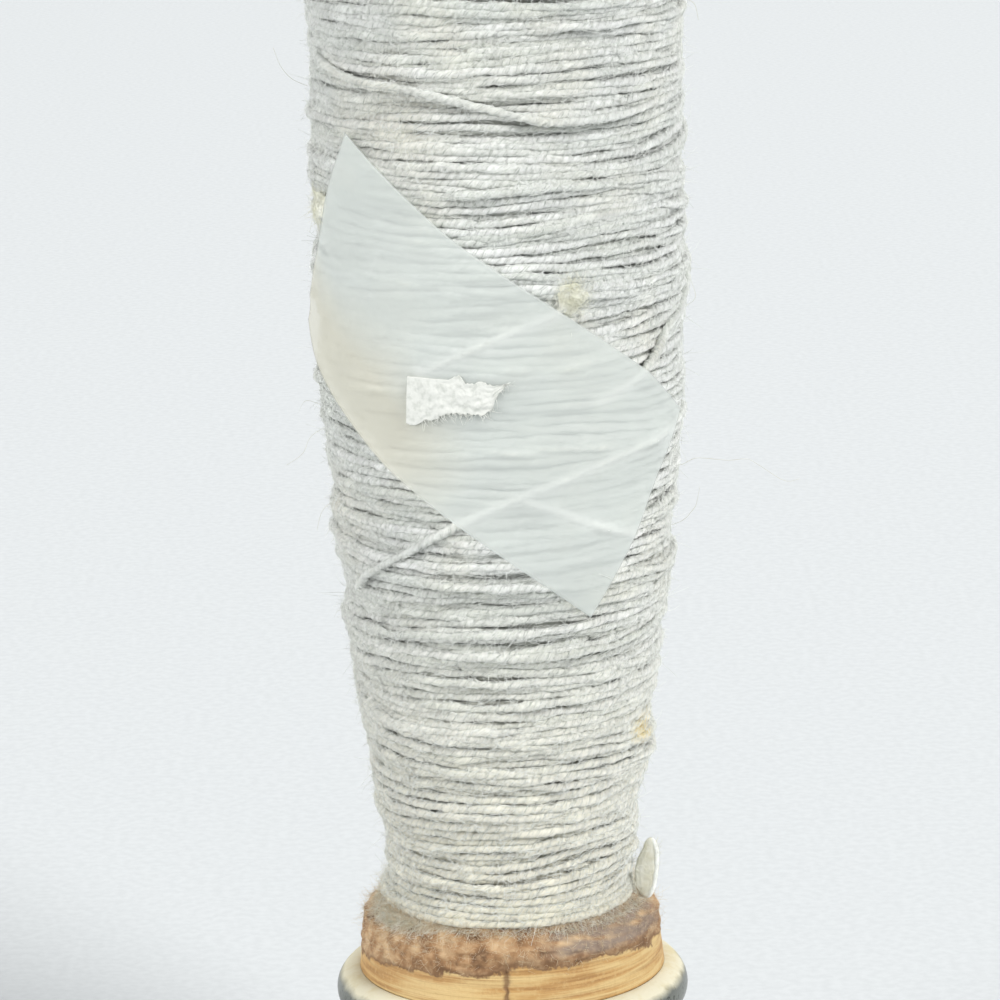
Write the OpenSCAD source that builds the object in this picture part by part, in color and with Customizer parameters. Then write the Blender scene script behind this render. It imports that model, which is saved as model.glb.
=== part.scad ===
// Wooden filling bobbin of a power loom, wound with coarse cotton yarn.
// A turned barrel with three wire rings on its butt carries the yarn.
// A strip of frosted tape, with a scrap of torn paper on it, is stuck across the turns.
// Sizes are millimetres. The bobbin stands on its butt: Z runs up its axis from the base at Z = 0.
// Angles round the axis are degrees from the front, which faces -Y, and grow towards +X.

/* [Butt] */
// Diameter of the butt at its rings
butt_d = 23.4; // [22.6:0.1:24.4]
// Diameter of the butt at its upper edge
butt_edge_d = 22.4; // [21.6:0.1:22.6]
// Height from the top ring's centre to the butt's upper edge
edge_above_ring = 6.2; // [4:0.1:10]
// Height of the bevel between that edge and the yarn's seat
bevel_h = 1.3; // [0.6:0.1:3]
// Radius of the rounded edge round the base
base_round = 1; // [0.4:0.1:1.6]

/* [Rings] */
// Diameter of the wire
ring_wire_d = 3.5; // [2.6:0.1:3.6]
// Outer diameter of a ring
ring_d = 27; // [26.4:0.1:28]
// Height of the lowest ring's centre
ring_first_z = 4.8; // [4:0.1:8]
// Distance between ring centres
ring_pitch = 6; // [5:0.1:9]
// Opening between the two ends of a ring's wire
ring_gap = 1.2; // [0.6:0.1:4]
// Direction of the top ring's opening
ring_gap_angle = 150; // [0:5:360]
// Turn from one ring's opening to the next
ring_stagger = 40; // [0:5:120]

/* [Barrel] */
// Overall length from base to tip
overall_l = 209.5; // [190:0.5:230]
// Barrel diameter at the butt
barrel_base_d = 14.5; // [13.5:0.1:15]
// Barrel diameter at the tip
barrel_tip_d = 10.5; // [10:0.1:12]
// Radius of the tip's rounded edge
tip_round = 1.2; // [0.4:0.1:1.5]
// Distance between the shallow grooves that keep the yarn from slipping
groove_pitch = 20; // [8:0.5:40]
// Height of the lowest groove above the yarn's seat
groove_first = 14; // [8:0.5:20]
// Length of plain barrel at the tip, above the last groove
tip_plain_l = 9; // [4:0.5:20]
// Width of a groove
groove_w = 1.6; // [0.8:0.1:3]
// Depth of a groove
groove_depth = 0.4; // [0.2:0.05:0.6]

/* [Bore] */
// Diameter of the spindle seat in the butt
seat_bore_d = 12; // [10:0.1:13]
// Depth of the spindle seat
seat_bore_l = 20; // [14:0.5:21]
// Diameter of the bore along the barrel
blade_bore_d = 6.8; // [5.5:0.1:7]
// Height of the cone between the two bores
bore_cone_h = 3; // [1:0.1:5]
// Chamfer round the mouth of the seat
mouth_chamfer = 0.6; // [0.2:0.1:1.2]

/* [Yarn] */
// Diameter of the yarn
yarn_d = 0.7; // [0.5:0.05:0.8]
// Diameter over the full part of the winding
package_d = 27.6; // [26:0.1:29]
// Diameter over the winding's foot
foot_d = 19; // [18.8:0.1:20.4]
// Height of the straight foot
foot_h = 3.2; // [1:0.1:6]
// Height over which the winding grows from its foot to its full diameter
foot_taper_h = 42; // [34:0.5:55]
// How quickly it grows at first (1 is a straight cone)
foot_taper_power = 1.5; // [1:0.1:2]
// Height of the cone at the top of the winding
nose_h = 36; // [28:0.5:44]
// Yarn left on the barrel at the end of that cone
nose_edge = 1.8; // [1.7:0.1:2.5]
// Length of bare barrel above the yarn
bare_tip_l = 21; // [12:0.5:30]
// Loops of the outer layer, each a band of turns side by side
winding_loops = 24; // [12:1:24]
// Gap between one band and the next
band_gap = 0.5; // [0.45:0.05:1]
// Layers of yarn in a band
band_layers = 1.5; // [1:0.1:1.6]
// Height of the reserve bunch above the yarn's seat
bunch_first = 11; // [10:0.5:16]
// Length of the reserve bunch
bunch_l = 24; // [14:0.5:28]
// Thickness of the reserve bunch
bunch_t = 1.2; // [0.6:0.1:1.3]

/* [Stray yarn] */
// Where the upper stray length starts: direction
upper_from_angle = -80; // [-100:1:-60]
// Where the upper stray length starts: height
upper_from_z = 90; // [88:0.5:110]
// Where the upper stray length ends: direction
upper_to_angle = 19; // [0:1:40]
// Where the upper stray length ends: height
upper_to_z = 85.5; // [85:0.5:110]
// Place along the tape where the lower stray length leaves its lower edge
lower_out_u = 5; // [0:0.5:8]
// Length of that stretch
lower_out_l = 14; // [6:0.5:16]
// Place along the tape where the lower stray length goes in at its upper edge
lower_in_u = 11.5; // [8:0.5:14]
// Length of that stretch
lower_in_l = 9; // [4:0.5:12]
// Turn of the lower stray length from straight across the tape
lower_turn = 25; // [10:1:35]
// Place along the tape of the slub in front, above its upper edge
front_slub_u = 3; // [0:0.5:6]
// Length of the slub in front
front_slub_l = 2.4; // [1.6:0.1:3]
// Place across the tape of the slub at the side, past its end
side_slub_v = 1.5; // [-4:0.5:6]
// Length of the slub at the side
side_slub_l = 2.8; // [1.6:0.1:3]
// Thickness of a slub
slub_d = 1.4; // [0.9:0.1:1.8]
// Direction of the frayed tail at the foot
tail_angle = 80; // [0:1:180]
// Height of that tail
tail_h = 4.6; // [3:0.1:6]
// Width of that tail
tail_w = 1.1; // [0.8:0.1:1.2]

/* [Tape and paper] */
// Length of the tape
tape_l = 35.5; // [30:0.5:38]
// Width of the tape
tape_w = 18; // [15:0.5:19]
// Thickness of the tape
tape_t = 0.1; // [0.05:0.01:0.2]
// Fall of the tape towards +X
tape_tilt = 34.5; // [30:0.5:38]
// Direction of the tape's middle
tape_angle = -10; // [-20:1:0]
// Height of the tape's middle
tape_z = 66.3; // [62:0.1:68]
// Length of the paper scrap
paper_l = 7; // [4:0.1:9]
// Height of the paper scrap
paper_w = 3.2; // [2:0.1:4]
// Thickness of the paper scrap
paper_t = 0.15; // [0.08:0.01:0.3]
// Direction of the paper scrap's middle
paper_angle = -15.5; // [-24:0.5:-6]
// Drop of the paper scrap's middle below the tape's middle
paper_drop = 0.7; // [-1:0.1:1.5]

/* [Hidden] */
$fn = 96;

// Clearances: a wire in its groove, yarn on wood, and one soft layer on the next
ring_fit = 0.04;
yarn_fit = 0.05;
layer_fit = 0.05;

// Rings and butt
ring_count = 3;
ring_mid_r = (ring_d - ring_wire_d) / 2;
top_ring_z = ring_first_z + (ring_count - 1) * ring_pitch;
butt_r = butt_d / 2;
butt_h = top_ring_z + edge_above_ring;
neck_z = top_ring_z + ring_wire_d / 2;
seat_z = butt_h + bevel_h;
seat_r = foot_d / 2;

// Barrel
barrel_base_r = barrel_base_d / 2;
barrel_tip_r = barrel_tip_d / 2;
groove_first_z = seat_z + groove_first;
groove_count = 1 + floor((overall_l - tip_plain_l - groove_first_z) / groove_pitch);
function barrel_r(z) = barrel_base_r + (barrel_tip_r - barrel_base_r) * (z - seat_z) / (overall_l - seat_z);

// Outer surface of the winding
foot_top_z = seat_z + foot_h;
full_z = foot_top_z + foot_taper_h;
nose_end_z = overall_l - bare_tip_l;
nose_z = nose_end_z - nose_h;
full_r = package_d / 2;
nose_end_r = barrel_r(nose_end_z) + nose_edge;
function foot_share(z) = 1 - pow(1 - (z - foot_top_z) / foot_taper_h, foot_taper_power);
function package_r(z) =
    z <= foot_top_z ? seat_r :
    z < full_z ? seat_r + (full_r - seat_r) * foot_share(z) :
    z <= nose_z ? full_r :
    full_r + (nose_end_r - full_r) * (z - nose_z) / nose_h;

// Outer layer: the loops, their band and the core that they lie on
loop_rings = 24;
core_z = seat_z + layer_fit;
winding_l = nose_end_z - core_z;
loop_pitch = (winding_l - 2 * yarn_d - band_gap) / (winding_loops - 1);
band_w = loop_pitch - band_gap;
band_h = yarn_d * band_layers;
band_flat_share = 0.7;
chord_rise = full_r * (1 / cos(180 / loop_rings) - 1);
core_depth = band_h + chord_rise + layer_fit;
function core_r(z) = package_r(z) - core_depth;

// Place on the winding at an angle and a height, lifted by some distance
function place(angle, z, lift = 0) =
    let (r = package_r(z) + lift)
    [r * sin(angle), -r * cos(angle), z];

// Place on the winding, from a place on the tape: u along it, v across it, both from its middle
function tape_place_angle(u, v) = tape_angle + (u * cos(tape_tilt) + v * sin(tape_tilt)) / full_r * 180 / PI;
function tape_place_z(u, v) = tape_z - u * sin(tape_tilt) + v * cos(tape_tilt);

// Triangles over rings of points, closed at both ends
function ring_band(i, n) = [for (k = [0 : n - 1]) each [
    [i * n + k, (i + 1) * n + k, i * n + (k + 1) % n],
    [i * n + (k + 1) % n, (i + 1) * n + k, (i + 1) * n + (k + 1) % n]
]];
function tube_faces(rings, n) = concat(
    [for (i = [0 : rings - 2]) each ring_band(i, n)],
    [for (k = [1 : n - 2]) [0, k, k + 1]],
    [for (k = [1 : n - 2]) [(rings - 1) * n, (rings - 1) * n + k + 1, (rings - 1) * n + k]]
);
module tube(rings) {
    n = len(rings[0]);
    polyhedron(points = [for (ring = rings) each ring], faces = tube_faces(len(rings), n));
}

// Rounded corner of a profile: an arc of points about a centre
function arc(centre, r, from, to, steps) = [
    for (i = [0 : steps])
        let (turn = from + (to - from) * i / steps)
        centre + r * [cos(turn), sin(turn)]
];

// Butt, barrel and bore, turned from one piece of wood
arc_steps = 6;
function groove(z) = [
    [barrel_r(z - groove_w / 2), z - groove_w / 2],
    [barrel_r(z) - groove_depth, z],
    [barrel_r(z + groove_w / 2), z + groove_w / 2]
];
barrel_profile = concat(
    [[0, 0]],
    arc([butt_r - base_round, base_round], base_round, -90, 0, arc_steps),
    [[butt_r, neck_z], [butt_edge_d / 2, butt_h], [seat_r, seat_z], [barrel_base_r, seat_z]],
    [for (i = [0 : groove_count - 1]) each groove(groove_first_z + i * groove_pitch)],
    arc([barrel_tip_r - tip_round, overall_l - tip_round], tip_round, 0, 90, arc_steps),
    [[0, overall_l]]
);
cut = 1;
module wooden_barrel() {
    color("burlywood") difference() {
        rotate_extrude() polygon(barrel_profile);
        translate([0, 0, -cut]) cylinder(d = seat_bore_d, h = seat_bore_l + cut);
        cylinder(d1 = seat_bore_d + 2 * mouth_chamfer, d2 = seat_bore_d, h = mouth_chamfer);
        translate([0, 0, seat_bore_l]) cylinder(d1 = seat_bore_d, d2 = blade_bore_d, h = bore_cone_h);
        translate([0, 0, seat_bore_l]) cylinder(d = blade_bore_d, h = overall_l - seat_bore_l + cut);
        for (i = [0 : ring_count - 1])
            translate([0, 0, ring_first_z + i * ring_pitch]) rotate_extrude()
                translate([ring_mid_r, 0]) circle(d = ring_wire_d + 2 * ring_fit);
    }
}

// A ring of round wire, sprung into its groove, with a small opening between its ends
module butt_ring(i) {
    opening = 2 * asin(ring_gap / 2 / ring_mid_r);
    turn = ring_gap_angle - 90 + opening / 2 + (ring_count - 1 - i) * ring_stagger;
    color("silver") translate([0, 0, ring_first_z + i * ring_pitch]) rotate([0, 0, turn])
        rotate_extrude(angle = 360 - opening) translate([ring_mid_r, 0]) circle(d = ring_wire_d);
}

// Reserve bunch: the yarn that is wound first, low on the barrel
bunch_z = seat_z + bunch_first;
bunch_top_z = bunch_z + bunch_l;
bunch_r = barrel_r(bunch_z) + bunch_t;
bunch_slope = bunch_t;
module reserve_bunch() {
    color("ivory") rotate_extrude() polygon([
        [barrel_r(bunch_z) + yarn_fit, bunch_z],
        [bunch_r, bunch_z + bunch_slope],
        [bunch_r, bunch_top_z - bunch_slope],
        [barrel_r(bunch_top_z) + yarn_fit, bunch_top_z]
    ]);
}

// Inner layers of yarn, round the barrel and the bunch
core_steps = 14;
core_outline = concat(
    [[core_r(core_z), core_z]],
    [for (i = [0 : core_steps]) let (z = foot_top_z + foot_taper_h * i / core_steps) [core_r(z), z]],
    [[core_r(nose_z), nose_z], [core_r(nose_end_z), nose_end_z]]
);
core_inside = [
    [barrel_r(nose_end_z) + yarn_fit, nose_end_z],
    [barrel_r(bunch_top_z) + yarn_fit, bunch_top_z + 2 * yarn_fit],
    [bunch_r + yarn_fit, bunch_top_z - bunch_slope + 2 * yarn_fit],
    [bunch_r + yarn_fit, bunch_z + bunch_slope - 2 * yarn_fit],
    [barrel_r(bunch_z) + yarn_fit, bunch_z - 2 * yarn_fit],
    [barrel_r(core_z) + yarn_fit, core_z]
];
module yarn_core() {
    color("gainsboro") rotate_extrude() polygon(concat(core_outline, core_inside));
}

// Outer layer: one unbroken flattened tube that climbs the core from the back.
// Each loop is a band of turns side by side. The band starts and ends one yarn wide, so that its first and
// last loops fill the ends of the winding.
band_shape = [
    [-0.5, 0.5], [-0.5 * band_flat_share, 0], [0.5 * band_flat_share, 0],
    [0.5, 0.5], [0.5 * band_flat_share, 1], [-0.5 * band_flat_share, 1]
];
function band_point(angle, z, corner) =
    let (r = (core_r(z) + layer_fit) / cos(180 / loop_rings) + corner[1] * band_h)
    [r * sin(angle), -r * cos(angle), z];
function band_ring(angle, z) =
    let (
        low = max(core_z, z - band_w / 2),
        high = min(nose_end_z, z + band_w / 2)
    )
    [for (corner = band_shape) band_point(angle, (low + high) / 2 + corner[0] * (high - low), corner)];
function along(angle, step) = [step * cos(angle), step * sin(angle), 0];
winding_start_angle = 180;
winding_z = core_z + yarn_d - band_w / 2;
winding_steps = winding_loops * loop_rings;
function loop_angle(i) = winding_start_angle + 360 * i / loop_rings;
function loop_ring(i) = band_ring(loop_angle(i), winding_z + loop_pitch * i / loop_rings);
loop_points = [for (i = [0 : winding_steps]) loop_ring(i)];
winding_rings = concat(
    [[for (p = loop_points[0]) p - along(loop_angle(0), band_h)]],
    loop_points,
    [[for (p = loop_points[winding_steps]) p + along(loop_angle(winding_steps), band_h)]]
);
least_gap = min([
    for (i = [0 : winding_steps - loop_rings])
        for (a = loop_points[i])
            min([for (b = loop_points[i + loop_rings]) norm(a - b)])
]);
echo(str("least gap between the loops of the winding: ", least_gap, " mm"));
module yarn_winding() {
    color("whitesmoke") tube(winding_rings);
}

// A stray length of yarn that lies on the turns between two places
strand_sides = 6;
strand_steps = 18;
strand_lift = yarn_d / 2 + layer_fit;
function strand_ring(centre, angle, r) = [
    for (k = [0 : strand_sides - 1])
        let (turn = 360 * k / strand_sides)
        centre + r * [sin(turn) * sin(angle), -sin(turn) * cos(angle), cos(turn)]
];
module strand(angle_a, z_a, angle_b, z_b) {
    tube([
        for (i = [0 : strand_steps])
            let (
                share = i / strand_steps,
                angle = angle_a + (angle_b - angle_a) * share,
                z = z_a + (z_b - z_a) * share
            )
            strand_ring(place(angle, z, strand_lift), angle, yarn_d / 2)
    ]);
}
module crossing_strand_upper() {
    color("white") strand(upper_from_angle, upper_from_z, upper_to_angle, upper_to_z);
}

// The lower stray length goes under the tape: it shows as two stretches, one off each long edge
lower_edge_v = tape_w / 2 + yarn_d;
module tape_strand(u, v, l) {
    u_far = u + l * sin(lower_turn) * sign(v);
    v_far = v + l * cos(lower_turn) * sign(v);
    strand(
        min(tape_place_angle(u, v), tape_place_angle(u_far, v_far)),
        min(tape_place_z(u, v), tape_place_z(u_far, v_far)),
        max(tape_place_angle(u, v), tape_place_angle(u_far, v_far)),
        max(tape_place_z(u, v), tape_place_z(u_far, v_far))
    );
}
module crossing_strand_lower() {
    color("white") tape_strand(lower_out_u, -lower_edge_v, lower_out_l);
    color("white") tape_strand(lower_in_u, lower_edge_v, lower_in_l);
}

// A slub: a short thick place in the yarn, thin at both ends
slub_steps = 8;
slub_end_share = 0.35;
function slub_r(share) = slub_d / 2 * (slub_end_share + (1 - slub_end_share) * sin(180 * share));
module slub(u, v, l) {
    z = tape_place_z(u, v);
    tube([
        for (i = [0 : slub_steps])
            let (
                share = i / slub_steps,
                angle = tape_place_angle(u, v) + l * (share - 0.5) / full_r * 180 / PI
            )
            strand_ring(place(angle, z, slub_d / 2 + layer_fit), angle, slub_r(share))
    ]);
}
module front_slub() {
    color("antiquewhite") slub(front_slub_u, tape_w / 2 + slub_d, front_slub_l);
}
module side_slub() {
    color("antiquewhite") slub(-tape_l / 2 - slub_d - side_slub_l / 2, side_slub_v, side_slub_l);
}

// Frayed end of the yarn, standing on the bevel beside the foot
tail_sides = 8;
tail_steps = 8;
tail_end_share = 0.3;
tail_lean = 0.3;
tail_r = seat_r + layer_fit + tail_w / 2;
bevel_slope = bevel_h / (butt_edge_d / 2 - seat_r);
tail_z = seat_z + layer_fit - bevel_slope * (tail_r - tail_w / 2 * tail_end_share - seat_r);
function tail_width(share) = tail_w / 2 * (tail_end_share + (1 - tail_end_share) * sin(180 * share));
function tail_ring(share) = [
    for (k = [0 : tail_sides - 1])
        let (turn = -360 * k / tail_sides, w = tail_width(share))
        [tail_r + tail_lean * share + w * cos(turn), w * sin(turn), tail_z + tail_h * share]
];
module yarn_tail() {
    color("floralwhite") rotate([0, 0, tail_angle - 90])
        tube([for (i = [0 : tail_steps]) tail_ring(i / tail_steps)]);
}

// A thin sheet on the winding: rows of points inside and outside, closed round its edge.
// Each row is a ring of the tube that runs along the sheet.
function sheet_ring(row, lift, t) = concat(
    [for (p = row) place(p[0], p[1], lift)],
    [for (i = [len(row) - 1 : -1 : 0]) place(row[i][0], row[i][1], lift + t)]
);
function strip_faces(rings, n) = concat(
    [for (i = [0 : rings - 2]) each ring_band(i, 2 * n)],
    [for (k = [0 : n - 2]) each end_pair(k, n, 0, true)],
    [for (k = [0 : n - 2]) each end_pair(k, n, (rings - 1) * 2 * n, false)]
);
function end_pair(k, n, first, start) =
    let (
        a = first + k,
        b = first + k + 1,
        c = first + 2 * n - 2 - k,
        d = first + 2 * n - 1 - k
    )
    start ? [[a, b, c], [a, c, d]] : [[a, c, b], [a, d, c]];
module sheet(rows, lift, t) {
    rings = [for (row = rows) sheet_ring(row, lift, t)];
    polyhedron(points = [for (ring = rings) each ring], faces = strip_faces(len(rings), len(rows[0])));
}

// Frosted tape, cut square at both ends, laid slantwise on the turns
tape_columns = 28;
tape_rows = 10;
tape_lift = layer_fit + chord_rise / 2;
module tape_strip() {
    color("lightgray", 0.6) sheet([
        for (i = [0 : tape_columns])
            let (u = tape_l * (i / tape_columns - 0.5))
            [for (j = [0 : tape_rows])
                let (v = tape_w * (j / tape_rows - 0.5))
                [tape_place_angle(u, v), tape_place_z(u, v)]]
    ], tape_lift, tape_t);
}

// Paper scrap on the tape, straight at one end and torn at the other
paper_columns = 14;
paper_rows = 4;
paper_lift = tape_lift + tape_t + layer_fit;
tear_depth = 0.16;
tear_slope = 0.3;
function tear(share, seed) = tear_depth * share * sin(seed + 900 * share) - tear_slope * share * share;
module paper_scrap() {
    color("white") sheet([
        for (i = [0 : paper_columns])
            let (
                share = i / paper_columns,
                angle = paper_angle + paper_l * (share - 0.5) / full_r * 180 / PI,
                top = paper_w * (0.5 + tear(share, 20)),
                bottom = -paper_w * (0.5 + tear(share, 200))
            )
            [for (j = [0 : paper_rows])
                [angle, tape_z - paper_drop + bottom + (top - bottom) * j / paper_rows]]
    ], paper_lift, paper_t);
}

wooden_barrel();
butt_ring(0);  // lower_ring
butt_ring(1);  // middle_ring
butt_ring(2);  // upper_ring
reserve_bunch();
yarn_core();
yarn_winding();
crossing_strand_upper();
crossing_strand_lower();
front_slub();
side_slub();
yarn_tail();
tape_strip();
paper_scrap();
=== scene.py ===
"""Looks of a yarn-wound filling bobbin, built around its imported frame.

Lengths are millimetres until a mesh is made. Angles round the axis start at the front, which faces -Y,
and grow towards +X: degrees in the fields, radians in the arrays.
"""

import copy
import logging
import math
from collections.abc import Callable, Iterable
from dataclasses import dataclass, field, replace
from enum import Enum
from functools import partial

import bpy
import numpy as np
from mathutils import Matrix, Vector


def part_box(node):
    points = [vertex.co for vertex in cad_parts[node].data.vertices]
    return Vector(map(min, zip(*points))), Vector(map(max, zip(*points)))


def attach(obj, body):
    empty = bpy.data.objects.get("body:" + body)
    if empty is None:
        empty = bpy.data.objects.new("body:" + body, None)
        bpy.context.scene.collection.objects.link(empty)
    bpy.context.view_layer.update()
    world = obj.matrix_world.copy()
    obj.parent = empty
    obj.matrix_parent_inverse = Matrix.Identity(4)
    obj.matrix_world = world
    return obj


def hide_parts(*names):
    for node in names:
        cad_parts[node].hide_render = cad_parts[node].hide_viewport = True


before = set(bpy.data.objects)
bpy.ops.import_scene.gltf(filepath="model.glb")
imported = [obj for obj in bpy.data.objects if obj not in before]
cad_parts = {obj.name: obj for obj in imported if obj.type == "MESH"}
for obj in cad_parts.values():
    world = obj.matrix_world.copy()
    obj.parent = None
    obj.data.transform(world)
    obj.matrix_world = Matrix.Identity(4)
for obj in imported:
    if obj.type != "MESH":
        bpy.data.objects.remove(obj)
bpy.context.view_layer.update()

MM = 0.001
ROOT = "root"
FIBRE_SIDES = 3
# Gloss of matted or spun fibre, as the shader counts it.
FIBRE_GLOSS = 0.2
# What a mix node needs to mix colours.
COLOUR = {"out": 2, "data_type": "RGBA"}
log = logging.getLogger("bobbin")

Array = np.ndarray
Random = np.random.Generator
Socket = bpy.types.NodeSocket
AddNode = Callable[..., Socket]
Pair = tuple[float, float]
Triple = tuple[float, float, float]
Points = tuple[tuple[float, ...], ...]
# Where a pattern's range starts and ends, and what those two ends turn to.
Span = tuple[float, float, float, float]
# Slow waves: shortest and longest along the axis, how many, and their size.
Waves = tuple[Pair, int, float]


class Slot(Enum):
    """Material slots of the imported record."""

    WOOD = "turned_wood"
    STEEL = "ring_steel"
    YARN = "cotton_yarn"
    SLUB = "cotton_slub"
    TAPE = "frosted_tape"
    PAPER = "torn_paper"


def linear(hex_code: str) -> tuple[float, float, float, float]:
    """Turns an sRGB colour into linear light.

    Args:
        hex_code: The colour as #rrggbb.

    Returns:
        Red, green, blue and an alpha of 1.
    """
    channels = [int(hex_code[i:i + 2], 16) / 255 for i in (1, 3, 5)]
    light = [c / 12.92 if c <= 0.04045 else ((c + 0.055) / 1.055) ** 2.4 for c in channels]
    return (*light, 1.0)


def add_node(
    tree: bpy.types.NodeTree,
    kind: str,
    inputs: dict | tuple = (),
    stops: Iterable[tuple[float, str]] = (),
    out: str | int = 0,
    **settings: object,
) -> Socket:
    """Adds a node with its settings and links.

    Args:
        tree: The tree that the node goes into.
        kind: Blender's name for the node's type, without what all of them start with.
        inputs: A value, a hex colour or a socket to link for each input, in order or by name or number.
        stops: Place and hex colour of each stop, where the node is a colour ramp.
        out: The output that is wanted, by name or number. Its node has the others.
        settings: The node's own attributes.

    Returns:
        The new node's output.
    """
    node = tree.nodes.new(f"ShaderNode{kind}")
    for name, value in settings.items():
        setattr(node, name, value)
    for name, value in inputs.items() if isinstance(inputs, dict) else enumerate(inputs):
        if isinstance(value, Socket):
            tree.links.new(value, node.inputs[name])
        else:
            node.inputs[name].default_value = linear(value) if isinstance(value, str) else value
    for i, (place, colour) in enumerate(stops):
        ramp = node.color_ramp.elements
        stop = ramp[i] if i < len(ramp) else ramp.new(place)
        stop.position = place
        stop.color = linear(colour)
    return node.outputs[out]


def on_axis(angle: Array, r: Array, z: Array) -> Array:
    """Places points round the axis.

    Args:
        angle: Angles from the front, in radians.
        r: Distances from the axis.
        z: Heights.

    Returns:
        The points, with their coordinates along the last axis.
    """
    return np.stack(np.broadcast_arrays(r * np.sin(angle), -r * np.cos(angle), z), -1)


def unit(vectors: Array) -> Array:
    """Scales vectors to a length of 1."""
    return vectors / np.maximum(np.linalg.norm(vectors, axis=-1, keepdims=True), 1e-9)


def ease(share: Array) -> Array:
    """Eases a share from 0 to 1, held at both ends."""
    held = np.clip(share, 0, 1)
    return held * held * (3 - 2 * held)


def grown(place: Array, start: float, length: float) -> Array:
    """Eases from 0 to 1 over a length that begins at a start."""
    return ease((place - start) / length)


def wrapped(angle: Array) -> Array:
    """Brings angles in radians to half a turn each way from the front."""
    return (angle + math.pi) % (2 * math.pi) - math.pi


def circle(count: int) -> Array:
    """Gives angles all the way round, evenly spaced, in radians."""
    return np.linspace(0, 2 * math.pi, count, endpoint=False)


def between(place: Array, points: Points) -> Array:
    """Reads a line through given points at each place."""
    return np.interp(place, *np.array(points, float).T)


def through(points: Points, count: int) -> Array:
    """Runs a smooth curve through given points.

    Args:
        points: The points, in order.
        count: How many points the curve has.

    Returns:
        The curve's points, one in a row.
    """
    knots = np.array([points[0], *points, points[-1]], float)
    place = np.linspace(0, len(points) - 1 - 1e-6, count)
    i = place.astype(int)
    t = (place - i)[:, None]
    a, b, c, d = (knots[i + k] for k in range(4))
    return 0.5 * (2 * b + (c - a) * t + (2 * a - 5 * b + 4 * c - d) * t**2 + (3 * b - a - 3 * c + d) * t**3)


class Drift:
    """Smooth noise from one seed, along a line or over the winding."""

    def __init__(self, seed: int) -> None:
        """Starts the noise at a seed."""
        self.rng = np.random.default_rng(seed)

    def line(self, place: Array, step: float, size: float) -> Array:
        """Makes noise along a line.

        Args:
            place: Distances along the line.
            step: Distance between two knots of the noise.
            size: Largest size of the noise, each way.

        Returns:
            The noise at each place.
        """
        share = (place - place.min()) / step
        knots = self.rng.uniform(-size, size, int(share.max()) + 2)
        low = share.astype(int)
        blend = ease(share - low)
        return knots[low] * (1 - blend) + knots[low + 1] * blend

    def swell(self, angle: Array, z: Array, reach: Pair, waves: int, size: float) -> Array:
        """Makes slow waves over the winding, which close round its axis.

        Args:
            angle: Angles from the front, in radians.
            z: Heights.
            reach: Shortest and longest wave along the axis.
            waves: How many waves are added up.
            size: Usual size of the sum, each way.

        Returns:
            The waves at each place.
        """
        total = np.zeros(np.broadcast(angle, z).shape)
        for _ in range(waves):
            round_axis = self.rng.integers(-3, 4)
            rise = 2 * math.pi / self.rng.uniform(*reach)
            total += np.cos(round_axis * angle + rise * z + self.rng.uniform(0, 2 * math.pi))
        return total * size / math.sqrt(waves / 2)


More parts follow.
